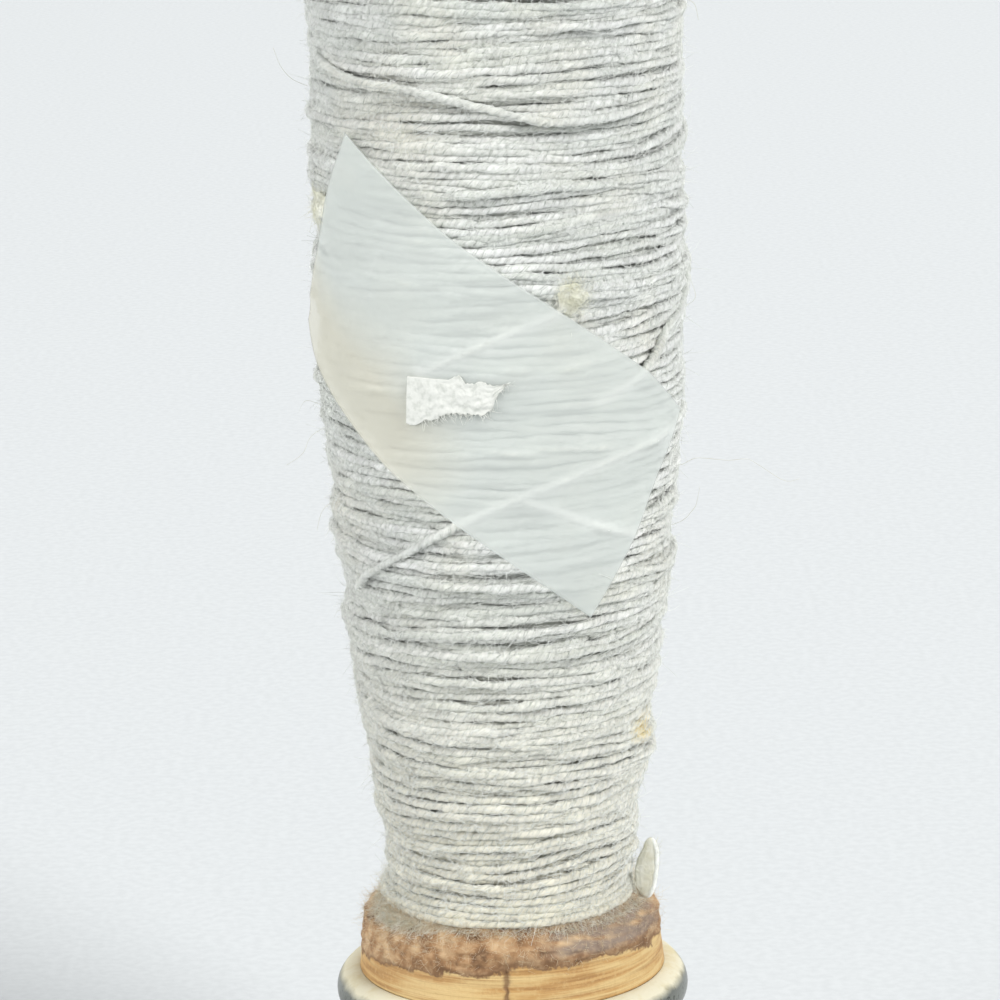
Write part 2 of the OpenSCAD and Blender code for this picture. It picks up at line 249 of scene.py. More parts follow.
@dataclass
class MeshDraft:
    """Points, faces and maps of one piece, gathered before its mesh is made."""

    points: list[Array] = field(default_factory=list)
    corners: list[Array] = field(default_factory=list)
    sizes: list[Array] = field(default_factory=list)
    strand: list[Array] = field(default_factory=list)
    bake: list[Array] = field(default_factory=list)
    marks: dict[str, list[Array]] = field(default_factory=dict)
    count: int = 0

    def add_points(self, points: Array, **marks: Array) -> int:
        """Adds points, with a value for each mark that a material reads.

        Args:
            points: The points, in millimetres, one in a row.
            marks: One number for each point, by the mark's name.

        Returns:
            The number of the first point.
        """
        first = self.count
        self.points.append(points)
        self.count += len(points)
        for name, values in marks.items():
            self.marks.setdefault(name, []).append(values)
        return first

    def add_faces(self, faces: Array, bake: Array | None = None, strand: Array | None = None) -> None:
        """Adds faces with one number of corners.

        Args:
            faces: Point numbers, one face in a row.
            bake: Place of each corner on the sheet that the finish is baked to.
            strand: Place of each corner along and round its yarn.
        """
        blank = np.zeros((*faces.shape, 2))
        self.corners.append(faces.ravel())
        self.sizes.append(np.full(len(faces), faces.shape[1]))
        self.bake.append((blank if bake is None else bake).reshape(-1, 2))
        self.strand.append((blank if strand is None else strand).reshape(-1, 2))

    def make(self, name: str, finish: "Finish", slot: Slot, *nodes: str) -> bpy.types.Object:
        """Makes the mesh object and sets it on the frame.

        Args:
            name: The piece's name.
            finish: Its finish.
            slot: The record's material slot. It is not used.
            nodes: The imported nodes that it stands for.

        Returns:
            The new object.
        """
        mesh = bpy.data.meshes.new(name)
        sizes = np.concatenate(self.sizes)
        corners = np.concatenate(self.corners)
        mesh.vertices.add(self.count)
        mesh.vertices.foreach_set("co", (np.concatenate(self.points) * MM).astype(np.float32).ravel())
        mesh.loops.add(len(corners))
        mesh.loops.foreach_set("vertex_index", corners.astype(np.int32))
        mesh.polygons.add(len(sizes))
        starts = np.concatenate([[0], np.cumsum(sizes)[:-1]])
        mesh.polygons.foreach_set("loop_start", starts.astype(np.int32))
        mesh.polygons.foreach_set("use_smooth", np.ones(len(sizes), bool))
        for layer, places in (("OFBake", self.bake), ("strand", self.strand)):
            uv = mesh.uv_layers.new(name=layer)
            uv.data.foreach_set("uv", np.concatenate(places).astype(np.float32).ravel())
        for mark, values in self.marks.items():
            layer = mesh.attributes.new(mark, "FLOAT", "POINT")
            layer.data.foreach_set("value", np.concatenate(values).astype(np.float32))
        mesh.update(calc_edges=True)
        mesh.validate()
        mesh.materials.append(finish.material())
        piece = bpy.data.objects.new(name, mesh)
        bpy.context.scene.collection.objects.link(piece)
        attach(piece, ROOT)
        if nodes:
            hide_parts(*nodes)
        log.info("%s: %d faces", name, len(sizes))
        return piece


def add_grid(
    draft: MeshDraft, points: Array, wrap: bool, bake: tuple[float, ...] = (0, 0, 1, 1), **marks: Array,
) -> Array:
    """Adds a grid of quads.

    Args:
        draft: The piece that the grid goes into.
        points: The points, by row and column.
        wrap: Whether the last column joins the first.
        bake: Lowest and highest corner of the grid's place on the baking sheet.
        marks: One number for each point, by the mark's name.

    Returns:
        The point numbers, by row and column.
    """
    rows, columns = points.shape[:2]
    first = draft.add_points(points.reshape(-1, 3), **{k: v.ravel() for k, v in marks.items()})
    number = first + np.arange(rows * columns).reshape(rows, columns)
    span = columns if wrap else columns - 1
    i, j = np.meshgrid(np.arange(rows - 1), np.arange(span), indexing="ij")
    across = (j + 1) % columns
    faces = np.stack([number[i, j], number[i, across], number[i + 1, across], number[i + 1, j]], -1)
    u = bake[0] + (bake[2] - bake[0]) * np.stack([j, j + 1, j + 1, j], -1) / span
    v = bake[1] + (bake[3] - bake[1]) * np.stack([i, i, i + 1, i + 1], -1) / (rows - 1)
    draft.add_faces(faces.reshape(-1, 4), np.stack([u, v], -1).reshape(-1, 4, 2))
    return number


def add_tube(draft: MeshDraft, points: Array) -> None:
    """Adds a tube that a face closes at each end.

    Args:
        draft: The piece that the tube goes into.
        points: The points, by ring and then round it.
    """
    number = add_grid(draft, points, True)
    draft.add_faces(number[:1, ::-1])
    draft.add_faces(number[-1:])


def add_sheet(draft: MeshDraft, face: Array, back: Array, **marks: Array) -> None:
    """Adds a thin sheet: its face, its back and the rim between them.

    Args:
        draft: The piece that the sheet goes into.
        face: Points of the face, by row and column.
        back: Points of the back, in the same order.
        marks: One number for each point of the face, by the mark's name. The back has the same ones.
    """
    mirrored = {name: mark[:, ::-1] for name, mark in marks.items()}
    outer = add_grid(draft, face, False, (0, 0, 0.5, 1), **marks)
    inner = add_grid(draft, back[:, ::-1], False, (0.5, 0, 1, 1), **mirrored)[:, ::-1]
    near, far = (np.concatenate([g[0], g[1:, -1], g[-1, -2::-1], g[-2:0:-1, 0]]) for g in (outer, inner))
    draft.add_faces(np.stack([near, far, np.roll(far, -1), np.roll(near, -1)], -1))


@dataclass
class Course:
    """A run of yarn: the centre line round the axis, in order, and the yarn's radius along it."""

    angle: Array
    z: Array
    r: Array
    thick: Array

    def points(self) -> Array:
        """Gives the centre line's points."""
        return on_axis(self.angle, self.r, self.z)

    def length(self) -> Array:
        """Gives the running length at each point."""
        steps = np.linalg.norm(np.diff(self.points(), axis=0), axis=1)
        return np.concatenate([[0], np.cumsum(steps)])

    def part(self, first: int, last: int) -> "Course":
        """Gives the stretch from one point to another."""
        cut = slice(first, last + 1)
        return Course(self.angle[cut], self.z[cut], self.r[cut], self.thick[cut])


@dataclass(frozen=True)
class YarnSection:
    """Cross-section of a twisted yarn, with its plies showing as lobes."""

    sides: int = 10
    back_deg: float = 144.0
    plies: int = 2
    lobe: float = 0.05
    lead: float = 1.36
    fray: float = 0.11
    fray_step: int = 3
    slip: float = 0.5
    slip_step: float = 2.2
    sheet_margin: float = 0.05
    seed: int = 7

    def streaks(self, place: Array) -> Array:
        """Makes the uneven surface of the fibre, drawn out along the twist.

        Args:
            place: Running length at each point of the yarn.

        Returns:
            The change in radius, as a share, by point and side.
        """
        count = len(place)
        rng = np.random.default_rng(self.seed)
        knots = rng.normal(0, self.fray, (count // self.fray_step + 2, self.sides))
        blend, low = np.modf(np.arange(count)[:, None] / self.fray_step)
        low = low.astype(int)
        turned = np.round(place / self.lead * self.sides).astype(int)[:, None]
        lane = (np.arange(self.sides)[None] + turned) % self.sides
        return knots[low, lane] * (1 - blend) + knots[low + 1, lane] * blend

    def spin(
        self, draft: MeshDraft, course: Course, row: int, start: float = 0.0, rows: int = 1, at: int = 0,
    ) -> None:
        """Sweeps the section along a course.

        Args:
            draft: The piece that the yarn goes into.
            course: The yarn's centre line.
            row: How many points of the course share one row of the baking sheet.
            start: Running length at the course's first point.
            rows: Rows of the baking sheet in all.
            at: The first row that this yarn takes.
        """
        centre = course.points()
        along = unit(np.gradient(centre, axis=0))
        outward = on_axis(course.angle, 1.0, 0.0)
        outward = unit(outward - along * np.sum(outward * along, 1, keepdims=True))
        side = np.cross(along, outward)
        place = start + course.length()
        place = place + Drift(self.seed).line(place, self.slip_step, self.slip)
        turn = np.radians(np.linspace(-self.back_deg, self.back_deg, self.sides))
        girth = np.append((turn - turn[0]) / (2 * math.pi), 1.0)
        twist = girth[None, :-1] + place[:, None] / self.lead
        plies = self.lobe * np.cos(2 * math.pi * self.plies * twist)
        radius = course.thick[:, None] * (1 + plies + self.streaks(place))
        ring = np.cos(turn)[None, :, None] * outward[:, None] + np.sin(turn)[None, :, None] * side[:, None]
        points = centre[:, None] + radius[..., None] * ring
        count = len(centre)
        first = draft.add_points(points.reshape(-1, 3))
        number = first + np.arange(count * self.sides).reshape(count, self.sides)
        i, j = np.meshgrid(np.arange(count - 1), np.arange(self.sides), indexing="ij")
        across = (j + 1) % self.sides
        faces = np.stack([number[i, j], number[i + 1, j], number[i + 1, across], number[i, across]], -1)
        share = girth[np.stack([j, j, j + 1, j + 1], -1)]
        run = np.stack([place[i], place[i + 1], place[i + 1], place[i]], -1)
        step = (i % row)[..., None] + np.array([0, 1, 1, 0])
        margin = self.sheet_margin
        sheet_v = (at + (i // row)[..., None] + margin + (1 - 2 * margin) * share) / rows
        bake = np.stack([step / row, sheet_v], -1)
        strand = np.stack([run, share], -1)
        draft.add_faces(faces.reshape(-1, 4), bake.reshape(-1, 4, 2), strand.reshape(-1, 4, 2))
        draft.add_faces(number[:1])
        draft.add_faces(number[-1:, ::-1])


def add_fibres(draft: MeshDraft, paths: Array, radius: float, tip: float, rng: Random) -> None:
    """Adds fibres as slim tubes that taper to their tips.

    Args:
        draft: The piece that the fibres go into.
        paths: The fibres' points, by fibre and then along it.
        radius: Radius at a fibre's root.
        tip: Radius at the tip, as a share of the root's.
        rng: Where the random turn of each fibre comes from.
    """
    count, knots = paths.shape[:2]
    chord = unit(paths[:, -1] - paths[:, 0] + 1e-6)
    across = unit(np.cross(chord, rng.normal(size=(count, 3))))
    over = np.cross(chord, across)
    turn = 2 * math.pi * np.arange(FIBRE_SIDES) / FIBRE_SIDES
    ring = np.cos(turn)[None, :, None] * across[:, None] + np.sin(turn)[None, :, None] * over[:, None]
    size = radius * np.linspace(1, tip, knots)
    points = paths[:, :, None] + size[..., None, None] * ring[:, None]
    first = draft.add_points(points.reshape(-1, 3))
    number = first + np.arange(count * knots * FIBRE_SIDES).reshape(count, knots, FIBRE_SIDES)
    sheet = (np.arange(count) + 0.5) / count
    for k in range(FIBRE_SIDES):
        near, far = number[:, :, k], number[:, :, (k + 1) % FIBRE_SIDES]
        faces = np.stack([near[:, :-1], far[:, :-1], far[:, 1:], near[:, 1:]], -1)
        u = np.broadcast_to((np.arange(knots - 1)[:, None] + np.array([0, 0, 1, 1])) / knots, faces.shape)
        v = np.broadcast_to(sheet[:, None, None], faces.shape)
        draft.add_faces(faces.reshape(-1, 4), np.stack([u, v], -1).reshape(-1, 4, 2))
    draft.add_faces(number[:, 0, ::-1])
    draft.add_faces(number[:, -1])


def swept(
    root: Array, heading: Array, bend: Array, reach: Array, knots: int, curl: Array | float = 0.0,
) -> Array:
    """Draws fibres that bend away from their headings.

    Args:
        root: Where each fibre starts.
        heading: The way each one starts out.
        bend: How it turns from there, with room for the points along it.
        reach: Each fibre's length, with the same room.
        knots: Points in a fibre.
        curl: A second turn, towards the tip.

    Returns:
        The fibres' points, by fibre and then along it.
    """
    t = np.linspace(0, 1, knots)[None, :, None]
    return root[:, None] + (heading[:, None] * t + bend * t**2 + curl * t**3) * reach


class Finish:
    """A finish: subclasses are frozen dataclasses that name a material and wire its nodes."""

    name: str

    def material(self) -> bpy.types.Material:
        """Gives the material, which is made the first time.

        Returns:
            The material.
        """
        made = bpy.data.materials.get(self.name)
        if made is None:
            made = bpy.data.materials.new(self.name)
            made.use_nodes = True
            tree = made.node_tree
            shader = tree.nodes["Principled BSDF"].inputs
            place = add_node(tree, "TexCoord", out="Object")
            place = add_node(tree, "VectorMath", {0: place, "Scale": 1 / MM}, operation="SCALE")
            for name, value in self.wire(partial(add_node, tree), place).items():
                if isinstance(value, Socket):
                    tree.links.new(value, shader[name])
                else:
                    shader[name].default_value = value
        return made

    def wire(self, node: AddNode, place: Socket) -> dict[str, object]:
        """Wires the material's pattern.

        Args:
            node: Adds a node to the material.
            place: Place on the object, in millimetres.

        Returns:
            A value, or a socket to link, for each of the shader's inputs that it sets.
        """
        raise NotImplementedError


@dataclass(frozen=True)
class SpunCotton(Finish):
    """Ring-spun two-ply cotton, unbleached and aged."""

    # Spun staple fibre: no gloss, a soft sheen, slanting plies with soil and painted shade in their furrows,
    # a broken line of painted shade where turns meet, and uneven whites.
    name: str = "ring_spun_cotton"
    clean: str = "#fafbf8"
    grey: str = "#e0e4dc"
    cream: str = "#f4efda"
    # Soil together with painted shade, darkening the furrows of plies and fibres.
    soil_and_shade: str = "#9da399"
    # Painted shade on the flanks, where a turn meets the next one.
    seam: str = "#858a80"
    stain: str = "#f0d98c"
    patch: float = 9.0
    speck: float = 0.24
    length: float = 30.0
    plies: int = 2
    lead: float = 1.36
    girth: float = 2.1
    # A real fibre is about 0.015 mm wide, too fine to show, so it is drawn coarser.
    fibre_w: float = 0.09
    fibre_l: float = 0.42
    ply_share: float = 0.06
    relief: float = 0.15
    furrow: Span = (0.5, 0.28, 0.0, 0.8)
    greyed: Span = (0.84, 1.24, 0.0, 1.0)
    cream_z: Span = (52.0, 24.0, 0.0, 1.0)
    cream_patch: Span = (0.48, 0.75, 0.0, 0.5)
    outer_face: float = 0.4
    flank: Span = (0.11, 0.2, 0.0, 0.8)
    dash: float = 0.8
    dash_lanes: float = 7.0
    dashes: Span = (0.42, 0.6, 0.0, 1.0)
    stain_at: Triple = (10.5, -3.8, 38.2)
    stain_squash: Triple = (1.0, 1.0, 1.9)
    stain_grain: float = 1.25
    stain_ragged: float = 2.0
    stain_edge: Span = (3.9, 1.5, 0.0, 0.95)
    roughness: float = 0.92
    sheen: Pair = (0.9, 0.4)

    def wire(self, node: AddNode, place: Socket) -> dict[str, object]:
        """Wires the whites, the soil and painted shade in the furrows, the painted shade where turns meet,
        and the relief of plies and fibres.

        Args:
            node: Adds a node to the material.
            place: Place on the object, in millimetres.

        Returns:
            The shader's inputs, by name.
        """
        strand = node("UVMap", uv_map="strand")
        run, share, _ = node("SeparateXYZ", (strand,)).node.outputs
        twist = node("Math", (run, 1 / self.lead, share), operation="MULTIPLY_ADD")
        turned = node("Math", (twist, 2 * math.pi * self.plies), operation="MULTIPLY")
        ply = node("Math", (turned,), operation="COSINE")
        across = node("Math", (twist, self.girth / self.fibre_w), operation="MULTIPLY")
        along = node("Math", (run, 1 / self.fibre_l), operation="MULTIPLY")
        line = node("CombineXYZ", (along, across))
        fibres = node("TexNoise", {"Vector": line, "Scale": 1.0, "Detail": 3.0})
        relief = node("Math", (ply, self.ply_share, fibres), operation="MULTIPLY_ADD")
        furrow = node("MapRange", (relief, *self.furrow))
        soiled_and_shaded = node("Mix", {0: furrow, 6: self.whites(node, place, run), 7: self.soil_and_shade}, **COLOUR)
        return {
            "Base Color": self.stained(node, place, self.seamed(node, run, share, soiled_and_shaded)),
            "Roughness": self.roughness,
            "Sheen Weight": self.sheen[0],
            "Sheen Roughness": self.sheen[1],
            "Specular IOR Level": FIBRE_GLOSS,
            "Normal": node("Bump", {"Height": relief, "Strength": 1.0, "Distance": self.relief * MM}),
        }

    def whites(self, node: AddNode, place: Socket, run: Socket) -> Socket:
        """Wires whites that vary from length to length and turn creamy at the foot.

        Args:
            node: Adds a node to the material.
            place: Place on the object, in millimetres.
            run: Place along the yarn, in millimetres.

        Returns:
            The colour.
        """
        patch = node("TexNoise", {"Vector": place, "Scale": 1 / self.patch, "Detail": 3.0})
        speck = node("TexNoise", {"Vector": place, "Scale": 1 / self.speck, "Detail": 2.0})
        tone = node("TexNoise", {"W": run, "Scale": 1 / self.length, "Detail": 2.0}, noise_dimensions="1D")
        mixed = node("Math", (speck, tone), operation="ADD")
        greyed = node("MapRange", (mixed, *self.greyed))
        white = node("Mix", {0: greyed, 6: self.clean, 7: self.grey}, **COLOUR)
        low = node("MapRange", (node("SeparateXYZ", (place,), out="Z"), *self.cream_z))
        yellowed = node("MapRange", (patch, *self.cream_patch))
        aged = node("Math", (low, yellowed), operation="MAXIMUM")
        return node("Mix", {0: aged, 6: white, 7: self.cream}, **COLOUR)

    def seamed(self, node: AddNode, run: Socket, share: Socket, colour: Socket) -> Socket:
        """Wires the broken dark line of painted shade where a turn meets the next one.

        Args:
            node: Adds a node to the material.
            run: Place along the yarn, in millimetres.
            share: Place round the yarn, as a share of its girth.
            colour: The colour without the line.

        Returns:
            The colour with it.
        """
        off = node("Math", (share, self.outer_face), operation="SUBTRACT")
        away = node("Math", (off,), operation="ABSOLUTE")
        along = node("Math", (run, 1 / self.dash), operation="MULTIPLY")
        side = node("Math", (share, self.dash_lanes), operation="MULTIPLY")
        line = node("CombineXYZ", (along, side))
        broken = node("TexNoise", {"Vector": line, "Scale": 1.0, "Detail": 2.0})
        flank = node("MapRange", (away, *self.flank))
        dashes = node("MapRange", (broken, *self.dashes))
        dark = node("Math", (flank, dashes), operation="MULTIPLY")
        return node("Mix", {0: dark, 6: colour, 7: self.seam}, **COLOUR)

    def stained(self, node: AddNode, place: Socket, colour: Socket) -> Socket:
        """Wires the small yellow stain.

        Args:
            node: Adds a node to the material.
            place: Place on the object, in millimetres.
            colour: The colour without it.

        Returns:
            The colour with it.
        """
        ragged = node("TexNoise", {"Vector": place, "Scale": 1 / self.stain_grain, "Detail": 2.0})
        from_it = node("VectorMath", (place, self.stain_at), operation="SUBTRACT")
        drawn = node("VectorMath", (from_it, self.stain_squash), operation="MULTIPLY")
        away = node("VectorMath", (drawn,), out="Value", operation="LENGTH")
        edge = node("Math", (ragged, self.stain_ragged, away), operation="MULTIPLY_ADD")
        spot = node("MapRange", (edge, *self.stain_edge))
        return node("Mix", {0: spot, 6: colour, 7: self.stain}, **COLOUR)


@dataclass(frozen=True)
class TwoTone(Finish):
    """A matt ground of two near tones, which mix in small patches."""

    name: str
    # Colours where the pattern is low and where it is high, and where each of them is pure.
    low: str
    high: str
    tones: Pair
    patch: float
    detail: float = 3.0
    # Depth of the pattern, and how far it shows.
    relief: float = 0.0
    bump: float = 0.0
    roughness: float = 0.95
    sheen: float = 0.0
    gloss: float = FIBRE_GLOSS

    def wire(self, node: AddNode, place: Socket) -> dict[str, object]:
        """Wires the two tones, and a relief where the finish has one.

        Args:
            node: Adds a node to the material.
            place: Place on the object, in millimetres.

        Returns:
            The shader's inputs, by name.
        """
        patch = node("TexNoise", {"Vector": place, "Scale": 1 / self.patch, "Detail": self.detail})
        inputs = {
            "Base Color": node("ValToRGB", (patch,), zip(self.tones, (self.low, self.high))),
            "Roughness": self.roughness,
            "Sheen Weight": self.sheen,
            "Specular IOR Level": self.gloss,
        }
        if self.relief:
            pressed = {"Height": patch, "Strength": self.bump, "Distance": self.relief * MM}
            inputs["Normal"] = node("Bump", pressed)
        return inputs


@dataclass(frozen=True)
class CardedLint(TwoTone):
    """Loose carded cotton: fibre ends, slubs and lint."""

    # Unspun fibre: matt, soft, a little yellower than the spun yarn and never one even tone.
    name: str = "carded_cotton_lint"
    low: str = "#f0f0e6"
    high: str = "#dcd9c4"
    tones: Pair = (0.35, 0.7)
    patch: float = 0.9
    relief: float = 0.1
    bump: float = 0.5
    sheen: float = 0.2


@dataclass(frozen=True)
class TornPaper(TwoTone):
    """Wove paper, torn so that its inner fibre shows."""

    # Torn paper: bright white felt without gloss, with small pits where fibre was pulled away.
    name: str = "torn_wove_paper"
    low: str = "#ced0c9"
    high: str = "#dedfd9"
    tones: Pair = (0.36, 0.52)
    patch: float = 0.45
    detail: float = 5.0
    relief: float = 0.12
    bump: float = 0.35


@dataclass(frozen=True)
class StudioFloor(TwoTone):
    """Matt painted board."""

    # Painted board: one pale tone with a barely visible roller texture.
    name: str = "matt_painted_board"
    low: str = "#d6d9da"
    high: str = "#d0d3d4"
    tones: Pair = (0.35, 0.65)
    patch: float = 0.9
    roughness: float = 0.9
    gloss: float = 0.1


@dataclass(frozen=True)
class TurnedMaple(Finish):
    """Maple turned on a lathe, oiled once and long handled."""

    # Turned and worn wood: fine rings from the tool, pale golden tones, and felted grime at the shoulder,
    # darker at its sides by painted shade.
    name: str = "turned_maple_worn"
    pale: str = "#d0b37c"
    golden: str = "#bc935a"
    line: str = "#9a7140"
    edge: str = "#664931"
    grime: str = "#9f7a55"
    felt: str = "#8c7c6f"
    dust: str = "#d0b28b"
    dark: str = "#6e4f33"
    wood_tones: Triple = (0.28, 0.44, 0.58)
    soil_tones: Triple = (0.29, 0.45, 0.66)
    # Size of a mark across the axis and along it.
    smudge: Pair = (7.0, 0.5)
    ring: Pair = (8.0, 0.15)
    pore: Pair = (0.28, 5.0)
    patch: float = 1.5
    fine: float = 0.3125
    ring_cut: Span = (0.5, 0.74, 0.0, 0.85)
    pore_cut: Span = (0.5, 0.74, 0.0, 0.12)
    worn: Span = (0.5, 0.75, 0.0, 0.45)
    dusty: Span = (0.5, 0.74, 0.0, 0.32)
    ragged: float = 0.8
    rim: Span = (1.25, 0.5, 0.0, 0.8)
    covered: Span = (0.28, 0.52, 0.0, 1.0)
    relief: float = 0.15
    roughness: Pair = (0.62, 0.9)
    ior: float = 1.5

    def wire(self, node: AddNode, place: Socket) -> dict[str, object]:
        """Wires tool rings over golden wood, then the grime, its dark rim and dust, and the crack; the rim
        spreads at the sides as painted shade.

        Args:
            node: Adds a node to the material.
            place: Place on the object, in millimetres.

        Returns:
            The shader's inputs, by name.
        """
        sizes = (self.smudge, self.ring, self.pore)
        smudges, rings, pores = (self.drawn_out(node, place, *size) for size in sizes)
        patch = node("TexNoise", {"Vector": place, "Scale": 1 / self.patch, "Detail": 5.0})
        fine = node("TexNoise", {"Vector": place, "Scale": 1 / self.fine, "Detail": 4.0})
        wood = node("ValToRGB", (smudges,), zip(self.wood_tones, (self.line, self.golden, self.pale)))
        for marks, span, tone in (
            (rings, self.ring_cut, self.line),
            (pores, self.pore_cut, self.line),
            (fine, self.worn, self.pale),
        ):
            wood = node("Mix", {0: node("MapRange", (marks, *span)), 6: wood, 7: tone}, **COLOUR)
        soil_and_shade = node("ValToRGB", (patch,), zip(self.soil_tones, (self.edge, self.grime, self.dust)))
        greyed, above, split = (
            node("Attribute", out="Fac", attribute_name=mark) for mark in ("felt", "grime", "crack")
        )
        ragged = node("Math", (fine, self.ragged, above), operation="MULTIPLY_ADD")
        dusty = node("MapRange", (fine, *self.dusty))
        rim = node("MapRange", (ragged, *self.rim))
        for share, tone in ((greyed, self.felt), (dusty, self.dust), (rim, self.edge)):
            soil_and_shade = node("Mix", {0: share, 6: soil_and_shade, 7: tone}, **COLOUR)
        covered = node("MapRange", (ragged, *self.covered))
        soiled_and_shaded = node("Mix", {0: covered, 6: wood, 7: soil_and_shade}, **COLOUR)
        relief = node("Math", (rings, fine), operation="ADD")
        return {
            "Base Color": node("Mix", {0: split, 6: soiled_and_shaded, 7: self.dark}, **COLOUR),
            "Roughness": node("MapRange", (covered, 0.0, 1.0, *self.roughness)),
            "IOR": self.ior,
            "Normal": node("Bump", {"Height": relief, "Strength": 0.4, "Distance": self.relief * MM}),
        }

    @staticmethod
    def drawn_out(node: AddNode, place: Socket, across: float, up: float) -> Socket:
        """Wires a noise that is longer one way than the other.

        Args:
            node: Adds a node to the material.
            place: Place on the object, in millimetres.
            across: Its size across the axis.
            up: Its size along the axis.

        Returns:
            The noise.
        """
        scaled = node("Mapping", {"Vector": place, "Scale": (1 / across, 1 / across, 1 / up)})
        return node("TexNoise", {"Vector": scaled, "Scale": 1.0, "Detail": 5.0})


@dataclass(frozen=True)
class DrawnWire(Finish):
    """Drawn steel wire, tarnished under years of mill dust."""

    # Drawn steel: a dull grey mirror with fine specks, and a dry cream bloom on what faces up.
    name: str = "drawn_steel_wire_dusty"
    steel: str = "#898b84"
    dark: str = "#595b55"
    dust: str = "#d8d2ba"
    dull: str = "#d0c5a0"
    steel_tones: Pair = (0.3, 0.45)
    dust_tones: Pair = (0.44, 0.72)
    patch: float = 1.6
    fine: float = 1 / 3
    patchy: float = 0.5
    streaky: float = 0.35
    dusty: Span = (0.66, 1.0, 0.0, 1.0)
    relief: float = 0.1
    roughness: Pair = (0.3, 0.9)

    def wire(self, node: AddNode, place: Socket) -> dict[str, object]:
        """Wires bare steel at the sides and dust on top.

        Args:
            node: Adds a node to the material.
            place: Place on the object, in millimetres.

        Returns:
            The shader's inputs, by name.
        """
        patch = node("TexNoise", {"Vector": place, "Scale": 1 / self.patch, "Detail": 4.0})
        fine = node("TexNoise", {"Vector": place, "Scale": 1 / self.fine, "Detail": 3.0})
        up = node("SeparateXYZ", (node("NewGeometry", out="Normal"),), out="Z")
        drift = node("Math", (patch, self.patchy, up), operation="MULTIPLY_ADD")
        dusty = node("MapRange", (drift, *self.dusty))
        bare = node("ValToRGB", (fine,), zip(self.steel_tones, (self.dark, self.steel)))
        streak = node("Math", (fine, self.streaky, patch), operation="MULTIPLY_ADD")
        bloom = node("ValToRGB", (streak,), zip(self.dust_tones, (self.dull, self.dust)))
        return {
            "Base Color": node("Mix", {0: dusty, 6: bare, 7: bloom}, **COLOUR),
            "Metallic": node("MapRange", (dusty, 0.0, 1.0, 1.0, 0.0)),
            "Roughness": node("MapRange", (dusty, 0.0, 1.0, *self.roughness)),
            "Normal": node("Bump", {"Height": fine, "Strength": 0.25, "Distance": self.relief * MM}),
        }


@dataclass(frozen=True)
class MattTape(Finish):
    """Matt acetate tape, cast with a fine frost on its back."""

    # Frosted film: a milky veil that lets the turns beneath show faintly, with a painted highlight where it
    # lies over a strand.
    name: str = "matt_acetate_tape"
    milk: str = "#d2d7d3"
    beige: str = "#d3d1c3"
    # Painted highlight along the strands under the film.
    ridge_highlight: str = "#f4f6f3"
    patch: float = 7.0
    grain: float = 0.3
    mottle: float = 0.6
    yellow: Span = (0.35, 1.1, 0.0, 1.0)
    veil: Span = (0.3, 0.7, 0.46, 0.58)
    lit: float = 0.25
    relief: float = 0.02
    roughness: float = 0.48
    ior: float = 1.48

    def wire(self, node: AddNode, place: Socket) -> dict[str, object]:
        """Wires a milky film with a yellowed side, a painted highlight over a strand, and a veil that varies.

        Args:
            node: Adds a node to the material.
            place: Place on the object, in millimetres.

        Returns:
            The shader's inputs, by name.
        """
        patch = node("TexNoise", {"Vector": place, "Scale": 1 / self.patch, "Detail": 2.0})
        grain = node("TexNoise", {"Vector": place, "Scale": 1 / self.grain, "Detail": 2.0})
        aged, ridge = (node("Attribute", out="Fac", attribute_name=mark) for mark in ("aged", "ridge"))
        mottled = node("Math", (patch, self.mottle, aged), operation="MULTIPLY_ADD")
        yellowed = node("MapRange", (mottled, *self.yellow))
        film = node("Mix", {0: yellowed, 6: self.milk, 7: self.beige}, **COLOUR)
        veil = node("MapRange", (patch, *self.veil))
        passed = node("MapRange", (node("LightPath", out="Is Shadow Ray"), 0.0, 1.0, 1.0, self.lit))
        return {
            "Base Color": node("Mix", {0: ridge, 6: film, 7: self.ridge_highlight}, **COLOUR),
            "Alpha": node("Math", (veil, passed), operation="MULTIPLY"),
            "Roughness": self.roughness,
            "IOR": self.ior,
            "Normal": node("Bump", {"Height": grain, "Strength": 0.15, "Distance": self.relief * MM}),
        }


COTTON = SpunCotton()
# The layer below the top turns: its whites are painted darker, as painted shade under the top turns.
SHADED_COTTON = SpunCotton(name="ring_spun_cotton_shaded", clean="#eef0eb", grey="#d6dad3")
# Lengths laid over the turns: paler soil and seam, so less painted shade in their furrows and on their
# flanks.
LOOSE_COTTON = SpunCotton(
    name="ring_spun_cotton_lightly_shaded", clean="#f6f8f3", grey="#e8ebe4", soil_and_shade="#bcc1b7", seam="#d4d8d0",
)
LINT = CardedLint()
RAISED_FIBRE = CardedLint(name="raised_cotton_fibre", low="#f8faf6", high="#e8eae3")
SLUB = CardedLint(name="matted_cotton_slub", low="#fbfbf1", high="#e6e5cf", patch=1.4)
DUSTY_LINT = CardedLint(name="carded_cotton_lint_dusty", low="#e6d9bf", high="#c2ac88")
MAPLE = TurnedMaple()
WIRE = DrawnWire()
TAPE = MattTape()
PAPER = TornPaper()


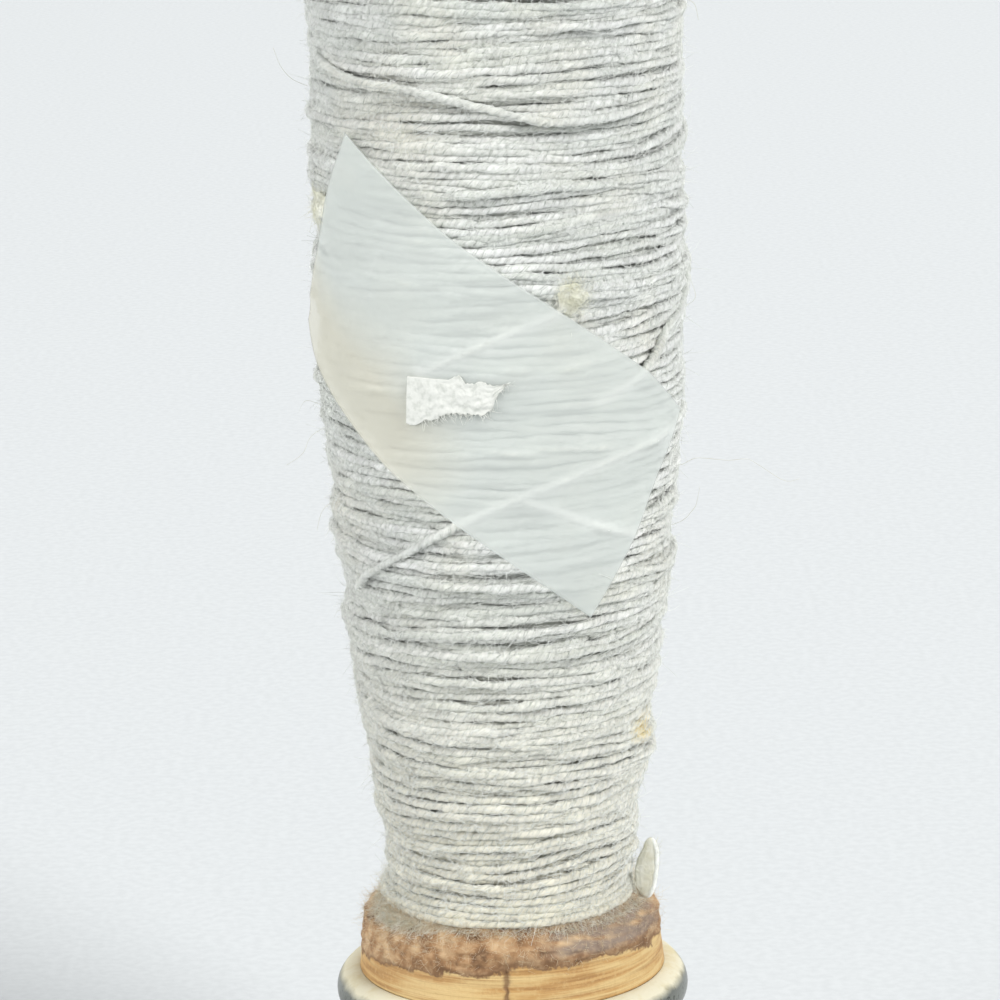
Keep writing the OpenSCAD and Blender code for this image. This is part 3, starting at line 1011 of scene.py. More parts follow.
@dataclass(frozen=True)
class PackageShape:
    """Outline of the barrel and of the yarn that is wound on it."""

    seat_z: float = 24.3
    foot_r: float = 9.5
    foot_h: float = 3.2
    taper_h: float = 42.0
    taper_power: float = 1.5
    full_r: float = 13.8
    nose_h: float = 36.0
    nose_edge: float = 1.8
    bare_tip: float = 21.0
    barrel_base_r: float = 7.25
    barrel_tip_r: float = 5.25
    overall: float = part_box("wooden_barrel")[1].z / MM

    @property
    def end_z(self) -> float:
        """Height where the yarn ends."""
        return self.overall - self.bare_tip

    def barrel(self, z: Array) -> Array:
        """Gives the barrel's radius at a height."""
        share = (z - self.seat_z) / (self.overall - self.seat_z)
        return self.barrel_base_r + (self.barrel_tip_r - self.barrel_base_r) * share

    def radius(self, z: Array) -> Array:
        """Gives the winding's outer radius.

        Args:
            z: Heights.

        Returns:
            The radius at each height.
        """
        taper = np.clip((z - self.seat_z - self.foot_h) / self.taper_h, 0, 1)
        swelled = self.foot_r + (self.full_r - self.foot_r) * (1 - (1 - taper) ** self.taper_power)
        fall = np.clip((z - self.end_z + self.nose_h) / self.nose_h, 0, 1)
        return swelled + (self.barrel(self.end_z) + self.nose_edge - self.full_r) * fall


class Relief:
    """Outer radius of the wound yarn, by angle and height."""

    STEP = 0.08
    BINS = 480

    def __init__(self, shape: PackageShape, low: float, high: float, under: float) -> None:
        """Starts as a smooth surface.

        Args:
            shape: Outline of the winding.
            low: Lowest height.
            high: Highest height.
            under: How far the smooth surface lies inside the outline.
        """
        self.low = low
        self.z = np.arange(low, high, self.STEP)
        self.grid = np.repeat((shape.radius(self.z) - under)[None], self.BINS, 0)

    def lay(self, course: Course) -> None:
        """Lays a run of yarn on the surface.

        Args:
            course: The yarn's centre line.
        """
        column = np.round(course.angle / (2 * math.pi) * self.BINS).astype(int) % self.BINS
        middle = np.round((course.z - self.low) / self.STEP).astype(int)
        reach = int(course.thick.max() / self.STEP)
        for k in range(-reach, reach + 1):
            row = middle + k
            inside = (row >= 0) & (row < len(self.z))
            off = self.low + row * self.STEP - course.z
            top = course.r + np.sqrt(np.maximum(course.thick**2 - off**2, 0))
            np.maximum.at(self.grid, (column[inside], row[inside]), top[inside])

    def at(self, angle: Array, z: Array) -> Array:
        """Reads the radius.

        Args:
            angle: Angles from the front, in radians.
            z: Heights.

        Returns:
            The radius at each place.
        """
        column = np.asarray(angle) / (2 * math.pi) * self.BINS
        row = np.clip((np.asarray(z) - self.low) / self.STEP, 0, len(self.z) - 1.001)
        i, j = np.floor(column).astype(int), row.astype(int)
        s, t = column - i, row - j
        i, k = i % self.BINS, (i + 1) % self.BINS
        near = self.grid[i, j] * (1 - t) + self.grid[i, j + 1] * t
        far = self.grid[k, j] * (1 - t) + self.grid[k, j + 1] * t
        return near * (1 - s) + far * s

    def stretched(self, reach: float, blur: float) -> "Relief":
        """Gives the surface that a film stretched over the yarn would take.

        Args:
            reach: How far a high place holds the film up around it.
            blur: Distance over which the film's bends are eased.

        Returns:
            The new surface.
        """
        film = copy.copy(self)
        cell = 2 * math.pi * self.grid.mean() / self.BINS
        margin = int(3 * max(reach, blur) / self.STEP) + 1
        rows = np.pad(self.grid, ((0, 0), (margin, margin)), mode="edge")
        top = rows
        for k in range(1, int(reach / self.STEP) + 1):
            top = np.maximum(top, np.maximum(np.roll(rows, k, 1), np.roll(rows, -k, 1)))
        wide = top
        for k in range(1, int(reach / cell) + 1):
            wide = np.maximum(wide, np.maximum(np.roll(top, k, 0), np.roll(top, -k, 0)))
        round_axis = np.fft.fftfreq(self.BINS)[:, None] * blur / cell
        up = np.fft.fftfreq(rows.shape[1])[None] * blur / self.STEP
        soft = np.exp(-2 * math.pi**2 * (round_axis**2 + up**2))
        film.grid = np.fft.ifft2(np.fft.fft2(wide) * soft).real[:, margin:-margin]
        return film


@dataclass
class YarnPackage:
    """The wound yarn: its hidden layers, the layer below the top one, and the top turns."""

    shape: PackageShape
    yarn_r: float = 0.325
    fine_z: float = 97.0
    fine_row: int = 480
    under_row: int = 220
    coarse_row: int = 150
    under_depth: float = 0.3
    turns_a_piece: int = 16
    inset: float = 0.22
    # Seeds of the layer below, the top layer and the binders.
    seeds: tuple[int, int, int] = (11, 5, 23)
    # The hidden layers: how deep they lie, their gap to the wood, and their mesh.
    core_depth: float = 0.9
    core_gap: float = 0.05
    core_mesh: tuple[int, int] = (180, 120)
    # Usual rise of a turn, and the length at each end where turns lie straight.
    spacing: float = 0.66
    end_h: float = 4.0
    # How turns stray and thicken: slow waves, then the knots' distance and the size of each noise.
    wave: Waves = ((5, 22), 16, 0.28)
    wander: Points = ((9, 0.13), (26, 0.18), (2.4, 0.09))
    uneven: tuple[Pair, Pair] = ((4, 0.17), (1.1, 0.18))
    # Hollows in the turns: angle and height of the middle, reach each way round and up, and depth.
    hollows: Points = ((-6, 86.4, 11, 0.4, 0.5), (30, 70.7, 8, 0.35, 0.35), (-20, 81.6, 10, 0.4, 0.3))
    # How many lengths cross the turns, and the mean radius there.
    binders: int = 36
    binder_r: float = 13.0
    relief: Relief = field(init=False)
    top: Course = field(init=False)

    def wind(self, seed: int, depth: float, web: float, row: int, high: float, hand: int) -> Course:
        """Winds one layer.

        Args:
            seed: Seed of the layer's own unevenness.
            depth: How far the layer lies inside the outline.
            web: How far it rises and falls from place to place, each way.
            row: Points in a turn, below the height where the turns grow coarse.
            high: Height where the layer ends.
            hand: 1 where the turns rise towards +X, -1 where they fall.

        Returns:
            The layer's centre line.
        """
        drift = Drift(seed)
        rng = drift.rng
        low = self.shape.seat_z
        count = int((high - low) / self.spacing * 1.4)
        steps = np.clip(rng.normal(self.spacing, 0.08, count), 0.48, 0.86)
        chance = rng.random(count)
        wide, close = chance < 0.08, chance > 1 - 0.1
        for chosen, limits in ((wide, (0.85, 1.1)), (close, (0.38, 0.5))):
            steps[chosen] = rng.uniform(*limits, count)[chosen]
        height = low + np.concatenate([[0], np.cumsum(steps)])
        height = height[height < high - self.yarn_r]
        fine_turns = min(np.searchsorted(height, self.fine_z), len(height) - 1)
        turn = np.concatenate([
            np.arange(0, fine_turns, 1 / row),
            np.arange(fine_turns, len(height) - 1, 1 / min(row, self.coarse_row)),
        ])
        angle = math.pi + hand * 2 * math.pi * turn
        z = np.interp(turn, np.arange(len(height)), height)
        run = 2 * math.pi * 12.0 * turn
        ends = ease((z - low) / self.end_h) * ease((high - z) / self.end_h)
        wander = drift.swell(angle, z, *self.wave)
        for noise in self.wander:
            wander = wander + drift.line(run, *noise)
        z = np.clip(z + ends * wander, low, high)
        r = self.shape.radius(z) - self.yarn_r - depth - self.inset
        for at_deg, at_z, wide_deg, tall, deep in self.hollows:
            off = np.degrees(wrapped(angle - math.radians(at_deg)))
            r -= deep * np.exp(-(off / wide_deg) ** 2 - ((z - at_z) / tall) ** 2)
        heave = drift.swell(angle, z, (3, 10), 14, 0.1)
        r += heave + drift.line(run, 6, 0.05) + drift.line(run, 2.6, web)
        # Some lengths stand proud, the lowest turn lies out on the bevel, and turns that are close ride up.
        proud = 0.2 * ease(drift.line(run, 34.0, 1.0) * 1.2)
        r += proud + 0.85 * np.exp((low - z) / 0.5)
        above = np.interp(turn + 1, turn, z, right=high + 1) - z
        tight = np.clip(1.9 * self.yarn_r - np.abs(above), 0, 0.5)
        over = drift.line(run, 300.0, 1.0) > 0
        r += np.where(over, tight, 0)
        r += np.interp(turn - 1, turn, np.where(over, 0, tight), left=0)
        slow, quick = (drift.line(run, *noise) for noise in self.uneven)
        thick = self.yarn_r * (1 + slow + quick)
        z = z + ends * drift.line(run, 1.3, 0.05)
        return Course(angle, z, r, thick)

    def bind(self, seed: int) -> list[Course]:
        """Lays the few turns that cross the rest at a slant.

        Args:
            seed: Seed of their places.

        Returns:
            The crossing lengths.
        """
        drift = Drift(seed)
        rng = drift.rng
        seat_z = self.shape.seat_z
        crossings = []
        for _ in range(self.binders):
            start = rng.uniform(0, 2 * math.pi)
            span = rng.uniform(0.5, 1.5) * math.pi
            z0 = rng.uniform(seat_z + 6.0, self.fine_z)
            rise = rng.uniform(-5.0, 5.0)
            share = np.linspace(0, 1, int(span / (2 * math.pi) * self.fine_row))
            run = share * span * self.binder_r
            angle = start + span * share
            z = np.clip(z0 + rise * share, seat_z + 2.0, self.fine_z - 1.0)
            z += drift.line(run, 12, 0.25)
            from_end = np.minimum(share, 1 - share) * span * self.binder_r
            sunk = 0.75 * (1 - ease(from_end / 6.0))
            r = self.relief.at(angle, z) - 0.22 - sunk + drift.line(run, 7, 0.06)
            thick = self.yarn_r * (1 + drift.line(run, 4, 0.1))
            crossings.append(Course(angle, z, r, thick))
        return crossings

    def build(self) -> None:
        """Builds the layers and dresses them in cotton."""
        end = self.shape.end_z
        under_seed, top_seed, binder_seed = self.seeds
        self.build_core()
        under = self.wind(under_seed, self.under_depth, 0.2, self.under_row, end, -1)
        self.top = self.wind(top_seed, 0.0, 0.04, self.fine_row, end, 1)
        self.relief = Relief(self.shape, self.shape.seat_z, self.fine_z + 4.0, self.core_depth)
        self.relief.lay(under)
        self.relief.lay(self.top)
        draft = MeshDraft()
        for i, crossing in enumerate(self.bind(binder_seed)):
            YarnSection().spin(draft, crossing, self.fine_row, 0, self.binders, i)
            self.relief.lay(crossing)
        draft.make("yarn_crossing_turns", COTTON, Slot.YARN, "yarn_winding")
        self.make_turns("yarn_under_turns", under, YarnSection(sides=7, lobe=0.0), SHADED_COTTON)
        self.make_turns("yarn_top_turns", self.top, YarnSection(), COTTON)

    def make_turns(self, name: str, course: Course, section: YarnSection, finish: Finish) -> None:
        """Makes a layer's pieces, each of a few turns.

        Args:
            name: What the pieces' names start with.
            course: The layer's centre line.
            section: The yarn's cross-section. It has fewer sides and no lobes where the turns grow coarse.
            finish: The layer's finish.
        """
        turn = np.abs(course.angle - course.angle[0]) / (2 * math.pi)
        start = 0.0
        first = piece = 0
        while first < len(turn) - 1:
            row = int(round(1 / (turn[first + 1] - turn[first])))
            coarse = row <= self.coarse_row
            turns = self.turns_a_piece * (2 if coarse else 1)
            last = min(int(np.searchsorted(turn, turn[first] + turns)), len(turn) - 1)
            part = course.part(first, last)
            shape = replace(section, seed=section.seed + piece)
            if coarse:
                shape = replace(shape, lobe=0.0, sides=section.sides - 2)
            draft = MeshDraft()
            shape.spin(draft, part, row, start, (last - first) // row + 1)
            piece += 1
            draft.make(f"{name}_{piece:02d}", finish, Slot.YARN, "yarn_winding")
            start += part.length()[-1]
            first = last

    def build_core(self) -> None:
        """Builds the hidden layers as one ring-shaped body round the barrel."""
        shape = self.shape
        rows, columns = self.core_mesh
        z = np.linspace(shape.seat_z + self.core_gap, shape.end_z - 0.4, rows)
        outer = shape.radius(z) - self.core_depth
        inner = shape.barrel(z) + self.core_gap
        r = np.concatenate([outer, inner[::-1], outer[:1]])
        height = np.concatenate([z, z[::-1], z[:1]])
        draft = MeshDraft()
        add_grid(draft, on_axis(circle(columns)[None], r[:, None], height[:, None]), True)
        draft.make("yarn_hidden_layers", COTTON, Slot.YARN, "yarn_core", "reserve_bunch")


@dataclass
class TapeStrip:
    """The strip of frosted tape, stuck at a slant across the turns."""

    package: YarnPackage
    length: float = 35.7
    width: float = 17.35
    thick: float = 0.08
    tilt_deg: float = 35.4
    angle_deg: float = -10.1
    z: float = 66.05
    skew: float = 0.85
    cell: float = 0.22
    # How far an edge bends, then where that starts and what it grows over, along the tape and across.
    bow: float = 0.65
    bow_u: Pair = (6, 11)
    bow_v: Pair = (-2, 9)
    hem: float = 0.55
    hem_u: Pair = (1, 8)
    hem_v: Pair = (2, 7)
    # Strands under the film: their width, and points over which an end fades.
    strand_w: float = 0.5
    strand_fade: int = 40
    strands: list[Course] = field(default_factory=list)
    film: Relief = field(init=False)

    def place(self, u: Array, v: Array) -> tuple[Array, Array]:
        """Turns a place on the tape into an angle and a height.

        Args:
            u: Distances along the tape, from its middle.
            v: Distances across it.

        Returns:
            The angle in radians, and the height.
        """
        tilt = math.radians(self.tilt_deg)
        hem = self.hem * grown(-u, *self.hem_u) * grown(-v, *self.hem_v)
        v = v + self.bow * grown(-u, *self.bow_u) * grown(v, *self.bow_v) + hem
        across = u * math.cos(tilt) + v * math.sin(tilt)
        angle = math.radians(self.angle_deg) + across / self.package.shape.full_r
        return angle, self.z - u * math.sin(tilt) + v * math.cos(tilt)

    def on_tape(self, angle: Array, z: Array) -> tuple[Array, Array]:
        """Turns an angle and a height into a place on the tape.

        Args:
            angle: Angles from the front, in radians.
            z: Heights.

        Returns:
            The distance along the tape and across it, from its middle.
        """
        tilt = math.radians(self.tilt_deg)
        cos, sin = math.cos(tilt), math.sin(tilt)
        across = wrapped(angle - math.radians(self.angle_deg)) * self.package.shape.full_r
        drop = z - self.z
        return across * cos - drop * sin, across * sin + drop * cos

    def covers(self, angle: Array, z: Array, margin: float) -> Array:
        """Says which places lie under the tape, or within a margin of it."""
        u, v = self.on_tape(angle, z)
        return (np.abs(u) < self.length / 2 + margin) & (np.abs(v) < self.width / 2 + margin)

    def surface(self, u: Array, v: Array) -> Array:
        """Gives the radius of the tape's outer face.

        Args:
            u: Distances along the tape, from its middle.
            v: Distances across it.

        Returns:
            The radius at each place.
        """
        angle, z = self.place(u, v)
        half = self.width / 2
        free = 0.4 * np.exp(-(v + half) / 1.4) * grown(-u, -8, 16)
        curl = 0.12 * np.exp(-(half - v) / 1.0)
        return self.film.at(angle, z) + self.thick + free + curl

    def ridge(self, u: Array, v: Array) -> Array:
        """Finds where the film lies over a strand, for a painted highlight there.

        Args:
            u: Distances along the tape, from its middle.
            v: Distances across it.

        Returns:
            How strong the painted highlight is at each place, from 0 to 1.
        """
        near = np.zeros(u.shape)
        skip = slice(None, None, 3)
        for strand in self.strands:
            count = np.arange(len(strand.z))
            shown = 0.34 * ease(np.minimum(count, count[::-1]) / self.strand_fade)
            along, across = self.on_tape(strand.angle, strand.z)
            for a, b, share in zip(along[skip], across[skip], shown[skip]):
                near = np.maximum(near, share * np.exp(-((u - a) ** 2 + (v - b) ** 2) / self.strand_w**2))
        return near

    def build(self) -> None:
        """Builds the film over the turns and dresses it."""
        # The film spans the turns, and they hold it up where they reach it.
        self.film = self.package.relief.stretched(0.9, 1.5)
        held = self.package.relief.stretched(0.3, 0.25)
        self.film.grid = np.maximum(self.film.grid + 0.03, held.grid)
        share = np.linspace(0, 1, int(self.length / self.cell))[None]
        v = np.linspace(-self.width / 2, self.width / 2, int(self.width / self.cell))[:, None]
        cut = -self.length / 2 - self.skew * v / (self.width / 2)
        u, v = np.broadcast_arrays(cut + (self.length / 2 - cut) * share, v)
        angle, z = self.place(u, v)
        r = self.surface(u, v)
        aged = grown(-v, -1, 8) * grown(-u, -7, 14)
        face, back = on_axis(angle, r, z), on_axis(angle, r - self.thick, z)
        draft = MeshDraft()
        add_sheet(draft, face, back, aged=aged, ridge=self.ridge(u, v))
        draft.make("frosted_tape", TAPE, Slot.TAPE, "tape_strip")


@dataclass
class PaperScrap:
    """A scrap of paper left on the tape, cut at one end and torn at the other."""

    tape: TapeStrip
    angle_deg: Pair = (-28.7, 1.3)
    foot_z: float = 63.6
    thick: float = 0.12
    cell: float = 0.07
    slant_deg: float = 1.1
    seed: int = 41
    # Share of the length, and height above the foot.
    upper: Points = (
        (0, 3.64), (0.43, 3.56), (0.5, 3.86), (0.535, 4.0), (0.565, 3.7), (0.6, 3.3), (0.7, 3.34),
        (0.76, 3.49), (0.86, 3.2), (0.93, 3.24), (1, 3.3),
    )
    lower: Points = (
        (0, 0.15), (0.04, 0), (0.09, 0), (0.15, 0.22), (0.19, 0.48), (0.3, 0.44), (0.37, 0.93), (0.5, 1.05),
        (0.7, 1.03), (0.75, 0.95), (0.86, 1.32), (0.88, 1.7), (0.9, 2.24), (0.95, 2.8), (1, 3.2),
    )
    # A torn edge: its knots' distance, its size, where it starts and how fast it grows.
    lower_torn: tuple[float, float, float, float] = (0.14, 0.11, 0.15, 8)
    upper_torn: tuple[float, float, float, float] = (0.16, 0.08, 0.44, 20)

    def build(self) -> None:
        """Builds the scrap with its torn edges and their fibres."""
        drift = Drift(self.seed)
        low, high = (math.radians(a) for a in self.angle_deg)
        length = (high - low) * self.tape.package.shape.full_r
        s = np.linspace(0, 1, int(length / self.cell))[None]
        t = np.linspace(0, 1, int(self.upper[0][1] / self.cell))[:, None]
        edges = []
        for points, torn in ((self.lower, self.lower_torn), (self.upper, self.upper_torn)):
            step, size, start, gain = torn
            ragged = drift.line(s[0] * length, step, size) * ease((s[0] - start) * gain)
            edges.append(between(s[0], points) + ragged)
        lower, upper = edges[0], np.maximum(edges[1], edges[0] + 0.06)
        angle = low + s * (high - low) - math.radians(self.slant_deg) * (1 - t) * (1 - s)
        z = self.foot_z + lower[None] + (upper - lower)[None] * t
        u, v = self.tape.on_tape(angle, z)
        # The face is still smooth along the cut end and the upper edge.
        cut, top, gain = 0.06, 0.97, 12
        inside = ease((s - cut) * gain) * ease((top - t) * gain)
        rough = 0.03 * self.emboss(z.shape, drift.rng) * inside + drift.rng.normal(0, 0.006, z.shape)
        lifted = 0.1 * grown(-s, -0.08, 0.08) + 0.16 * grown(s, 0.8, 0.2)
        r = self.tape.surface(u, v) + self.thick + rough + lifted
        face = on_axis(angle, r, z)
        back = on_axis(angle, r - self.thick + np.where(rough > 0, -rough, 0), z)
        draft = MeshDraft()
        add_sheet(draft, face, back)
        self.fray(draft, face, drift.rng)
        draft.make("torn_paper_scrap", PAPER, Slot.PAPER, "paper_scrap")

    @staticmethod
    def emboss(shape: tuple[int, int], rng: Random) -> Array:
        """Makes the soft dents of paper that was pulled apart.

        Args:
            shape: Rows and columns of the sheet.
            rng: Where the dents come from.

        Returns:
            The dents, with a usual size of 1.
        """
        total = np.zeros(shape)
        for reach, share in ((5.0, 1.0), (2.2, 0.7)):
            up, across = (np.fft.fftfreq(n)[:, None] * reach for n in shape)
            soft = np.exp(-2 * math.pi**2 * (up**2 + across.T**2))
            wave = np.fft.ifft2(np.fft.fft2(rng.normal(size=shape)) * soft).real
            total += share * wave / wave.std()
        return total

    def fray(self, draft: MeshDraft, sheet: Array, rng: Random) -> None:
        """Adds the fibres that stick out of the torn edges.

        Args:
            draft: The scrap.
            sheet: The points of its outer face, by row and column.
            rng: Where the fibres' places come from.
        """
        rows, columns = sheet.shape[:2]
        ends = sheet[rng.integers(0, rows, 9), columns - 1]
        foot = sheet[0, rng.integers(columns // 6, columns, 90)]
        roots = np.concatenate([ends, foot])
        lean = np.repeat([(1.0, -0.1, -0.35), (0.2, -0.2, -1.0)], [len(ends), len(foot)], 0)
        heading = unit(lean + rng.normal(0, 0.45, roots.shape))
        size = rng.uniform(0.15, 0.8, len(roots)) ** 1.4
        bend = rng.normal(0, 0.35, roots.shape)
        paths = swept(roots, heading, bend[:, None], size[:, None, None], 5)
        add_fibres(draft, paths, 0.022, 0.4, rng)


@dataclass
class StrayYarn:
    """Lengths of yarn that lie loose on the turns."""

    package: YarnPackage
    tape: TapeStrip
    # Angle in degrees and height at each place that a length goes through.
    upper: Points = (
        (-84, 90.3), (-80, 90), (-51, 88.6), (-29.5, 88.1), (-12, 87.2), (7, 86.1), (19, 85.6), (40, 85.7),
        (66, 86.4),
    )
    lower: Points = (
        (100, 62.6), (80, 62.1), (64, 61.6), (48, 61.0), (32, 60.3), (18, 59.3), (5, 58.2), (-14, 56.2),
        (-37, 53.2), (-55, 51.0), (-64, 50.0), (-72, 49.4),
    )
    right: Points = (
        (98, 76.5), (87.6, 72.2), (79.8, 70.5), (64, 69.4), (54.5, 67.8), (48, 66.6), (41, 65.8), (33, 65.2),
        (27, 64.9),
    )
    veiled: tuple[Points, ...] = (
        ((24, 72.7), (16, 71.7), (4, 70.6), (-8, 69.4), (-21, 67.9), (-27, 67.3)),
        ((3, 58.4), (8, 57.9), (18, 57.0), (32, 55.5), (45, 54.5), (51, 54.2)),
    )
    knots: int = 420
    # Length over which an end goes under the turns.
    tuck: float = 4.0
    veiled_tuck: float = 1.6
    # How far a length is pressed in under the tape, and bedded in the turns at the sides.
    press: float = 0.18
    bed: float = 0.18

    def lay(self, points: Points, seed: int, tuck: float) -> Course:
        """Lays a length of yarn over the turns, through listed places.

        Args:
            points: Angle in degrees and height at each place, in order.
            seed: Seed of its unevenness.
            tuck: Length over which each end goes under the turns.

        Returns:
            The length's centre line.
        """
        drift = Drift(seed)
        path = through(points, self.knots)
        angle, z = np.radians(path[:, 0]), path[:, 1]
        run = Course(angle, z, self.package.shape.radius(z), z).length()
        z = z + drift.line(run, 5, 0.07)
        slow, quick = (drift.line(run, *noise) for noise in ((4, 0.1), (1.2, 0.12)))
        thick = self.package.yarn_r * (0.94 + slow + quick)
        seat = self.package.relief.stretched(0.25, 0.35).at(angle, z)
        sunk = 0.8 * (1 - ease(np.minimum(run, run[-1] - run) / tuck))
        u, v = self.tape.on_tape(angle, z)
        inside = np.minimum(self.tape.length / 2 - np.abs(u), self.tape.width / 2 - np.abs(v))
        pressed = self.press * ease(inside / self.tuck + 0.5)
        bedded = self.bed * grown(np.abs(angle), 0.9, 0.5)
        return Course(angle, z, seat + 0.7 * thick - sunk - pressed - bedded, thick)

    def build(self) -> None:
        """Builds the stray lengths and lays them on the relief, so that the tape goes over them."""
        section = YarnSection(lobe=0.07, fray=0.14)
        strays = (
            ("crossing_yarn_upper", (self.upper,), (60,), self.tuck, "crossing_strand_upper"),
            ("crossing_yarn_lower", (self.lower, self.right), (61, 66), self.tuck, "crossing_strand_lower"),
            ("crossing_yarn_short_lengths", self.veiled, (70, 71), self.veiled_tuck, "yarn_winding"),
        )
        for name, paths, seeds, tuck, node in strays:
            draft = MeshDraft()
            for i, (points, seed) in enumerate(zip(paths, seeds)):
                course = self.lay(points, seed, tuck)
                section.spin(draft, course, len(course.z), 0, len(paths), i)
                self.package.relief.lay(course)
                self.tape.strands.append(course)
            draft.make(name, LOOSE_COTTON, Slot.YARN, node)


@dataclass
class Slub:
    """A matted lump of fibre on the turns, with loose fibre round it."""

    package: YarnPackage
    name: str
    node: str
    seed: int
    angle: float
    z: float
    # Half its length and half its height.
    size: Pair
    # The lump: its mesh, its share of the size, and the waves of its edge.
    mesh: tuple[int, int] = (26, 60)
    share: float = 0.8
    edge_waves: Points = ((3, 0.1), (5, 0.06))
    # The loose fibre round it.
    fibres: int = 700

    def build(self) -> None:
        """Builds the lump and its fibre."""
        rng = Drift(self.seed).rng
        long, tall = self.size
        bed = self.package.relief.stretched(0.3, 0.3)
        ground = float(bed.at(np.array(self.angle), np.array(self.z)))
        around = circle(self.mesh[1])[None]
        out = np.linspace(0.02, 1, self.mesh[0])[:, None]
        edge = 1
        for i, (waves, size) in enumerate(self.edge_waves, 1):
            edge = edge + size * np.sin(waves * around + i * self.seed)
        at = self.angle + self.share * long * out * edge * np.cos(around) / ground
        up = self.z + self.share * tall * out * edge * np.sin(around)
        wave = 1 + 0.12 * np.sin(2.5 * out + 2 * around)
        mound = 0.2 * (1 - out**2) ** 1.6 * wave
        mound = mound + 0.008 * rng.normal(size=mound.shape)
        top = on_axis(at, bed.at(at, up) + mound - 0.03, up)
        foot = on_axis(at, bed.at(at, up) - 0.25, up)
        draft = MeshDraft()
        outer = add_grid(draft, top, True, (0, 0, 0.5, 1))
        inner = add_grid(draft, foot[:, ::-1], True, (0.5, 0, 1, 1))[:, ::-1]
        draft.add_faces(outer[:1, ::-1])
        draft.add_faces(inner[:1])
        draft.add_faces(np.stack([outer[-1], np.roll(outer[-1], -1), np.roll(inner[-1], -1), inner[-1]], -1))
        count = self.fibres
        spread = rng.normal(0, 0.48, (count, 2))
        dome = 0.22 * np.sqrt(np.maximum(1 - (spread**2).sum(1), 0))
        at, up = self.angle + spread[:, 0] * long / ground, self.z + spread[:, 1] * tall
        root = on_axis(at, bed.at(at, up) + dome * rng.uniform(0.2, 1.1, count), up)
        outward = on_axis(np.full(count, self.angle), 1.0, 0.0)
        sway = rng.normal(0, 1.0, (count, 3))
        heading = unit(sway - 0.95 * np.sum(sway * outward, 1, keepdims=True) * outward)
        reach = rng.uniform(0.15, 0.75, (count, 1, 1))
        bend = rng.normal(0, 0.6, (count, 1, 3)) - 0.15 * outward[:, None]
        paths = swept(root, heading, bend, reach, 5)
        add_fibres(draft, paths, 0.015, 0.4, rng)
        draft.make(self.name, SLUB, Slot.SLUB, self.node)


@dataclass
class FrayedEnd:
    """The yarn's end beside the foot: a flat leaf of fibre with one bright strand at its edge."""

    seed: int = 57
    foot_z: float = 23.95
    top_z: float = 28.8
    # Height, and distance from the axis.
    inner: Points = (
        (23.9, 10.3), (24.4, 9.95), (25.0, 9.65), (26.1, 9.62), (27.1, 9.85), (28.0, 10.3), (28.8, 10.55),
    )
    outer: Points = ((23.9, 10.8), (24.9, 11.25), (26.6, 11.5), (27.8, 11.5), (28.8, 11.2))
    rows: int = 90
    leaf_sides: int = 72
    strand_sides: int = 18
    strand_r: float = 0.2
    fibres: int = 700

    def build(self) -> None:
        """Builds the leaf, its strand and its fibre."""
        low, high = (np.array(corner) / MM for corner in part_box("yarn_tail"))
        middle = (low + high) / 2
        out = unit(np.array([middle[0], middle[1], 0.0]))
        side = np.array([-out[1], out[0], 0.0])
        rise = np.array([0, 0, 1.0])
        drift = Drift(self.seed)
        rng = drift.rng
        z = np.linspace(self.foot_z, self.top_z, self.rows)
        inner, outer = between(z, self.inner), between(z, self.outer)
        ends = np.clip(np.minimum(z - z[0], z[-1] - z) / 0.4, 0, 1)
        blunt = np.maximum(np.sqrt(1 - (1 - ends) ** 2), 0.05)[:, None]
        height = z[:, None, None] * rise
        leaf, strand = MeshDraft(), MeshDraft()
        around = circle(self.leaf_sides)[None]
        waves = np.cos(11 * around + drift.line(z, 1.5, 1.8)[:, None])
        lines = 0.07 * waves + rng.normal(0, 0.05, (self.rows, self.leaf_sides))
        half = (outer - inner)[:, None] / 2 * blunt
        radial = (inner + outer)[:, None] / 2 + half * np.cos(around)
        depth = 0.24 * blunt * np.sin(around) * (1 + lines) + lines * 0.3
        add_tube(leaf, radial[..., None] * out + depth[..., None] * side + height)
        turn = circle(self.strand_sides)[None]
        uneven = 1 + drift.line(z, 0.6, 0.15)[:, None]
        grain = rng.normal(0, 0.02, (self.rows, self.strand_sides))
        size = self.strand_r * blunt * (uneven + grain)
        radial = (outer - self.strand_r)[:, None] + size * np.cos(turn)
        depth = size * np.sin(turn) - 0.04
        add_tube(strand, radial[..., None] * out + depth[..., None] * side + height)
        count = self.fibres
        place = rng.uniform(0.03, 0.9, count)
        rows = np.linspace(0, 1, self.rows)
        first, wide = (np.interp(place, rows, edge) for edge in (inner, outer - inner))
        at = first + rng.uniform(0, 1, count) ** 0.8 * wide
        root = at[:, None] * out + rng.normal(0, 0.2, (count, 1)) * side
        root = root + (self.foot_z + place * (self.top_z - self.foot_z))[:, None] * rise
        heading = unit(rise + rng.normal(0, 0.45, (count, 3)))
        bend = rng.normal(0, 0.4, (count, 1, 3))
        reach = rng.uniform(0.2, 0.7, (count, 1, 1))
        paths = swept(root, heading, bend, reach, 5)
        add_fibres(leaf, paths, 0.012, 0.4, rng)
        leaf.make("frayed_yarn_tail", LINT, Slot.SLUB, "yarn_tail")
        strand.make("frayed_yarn_tail_edge", RAISED_FIBRE, Slot.SLUB, "yarn_tail")


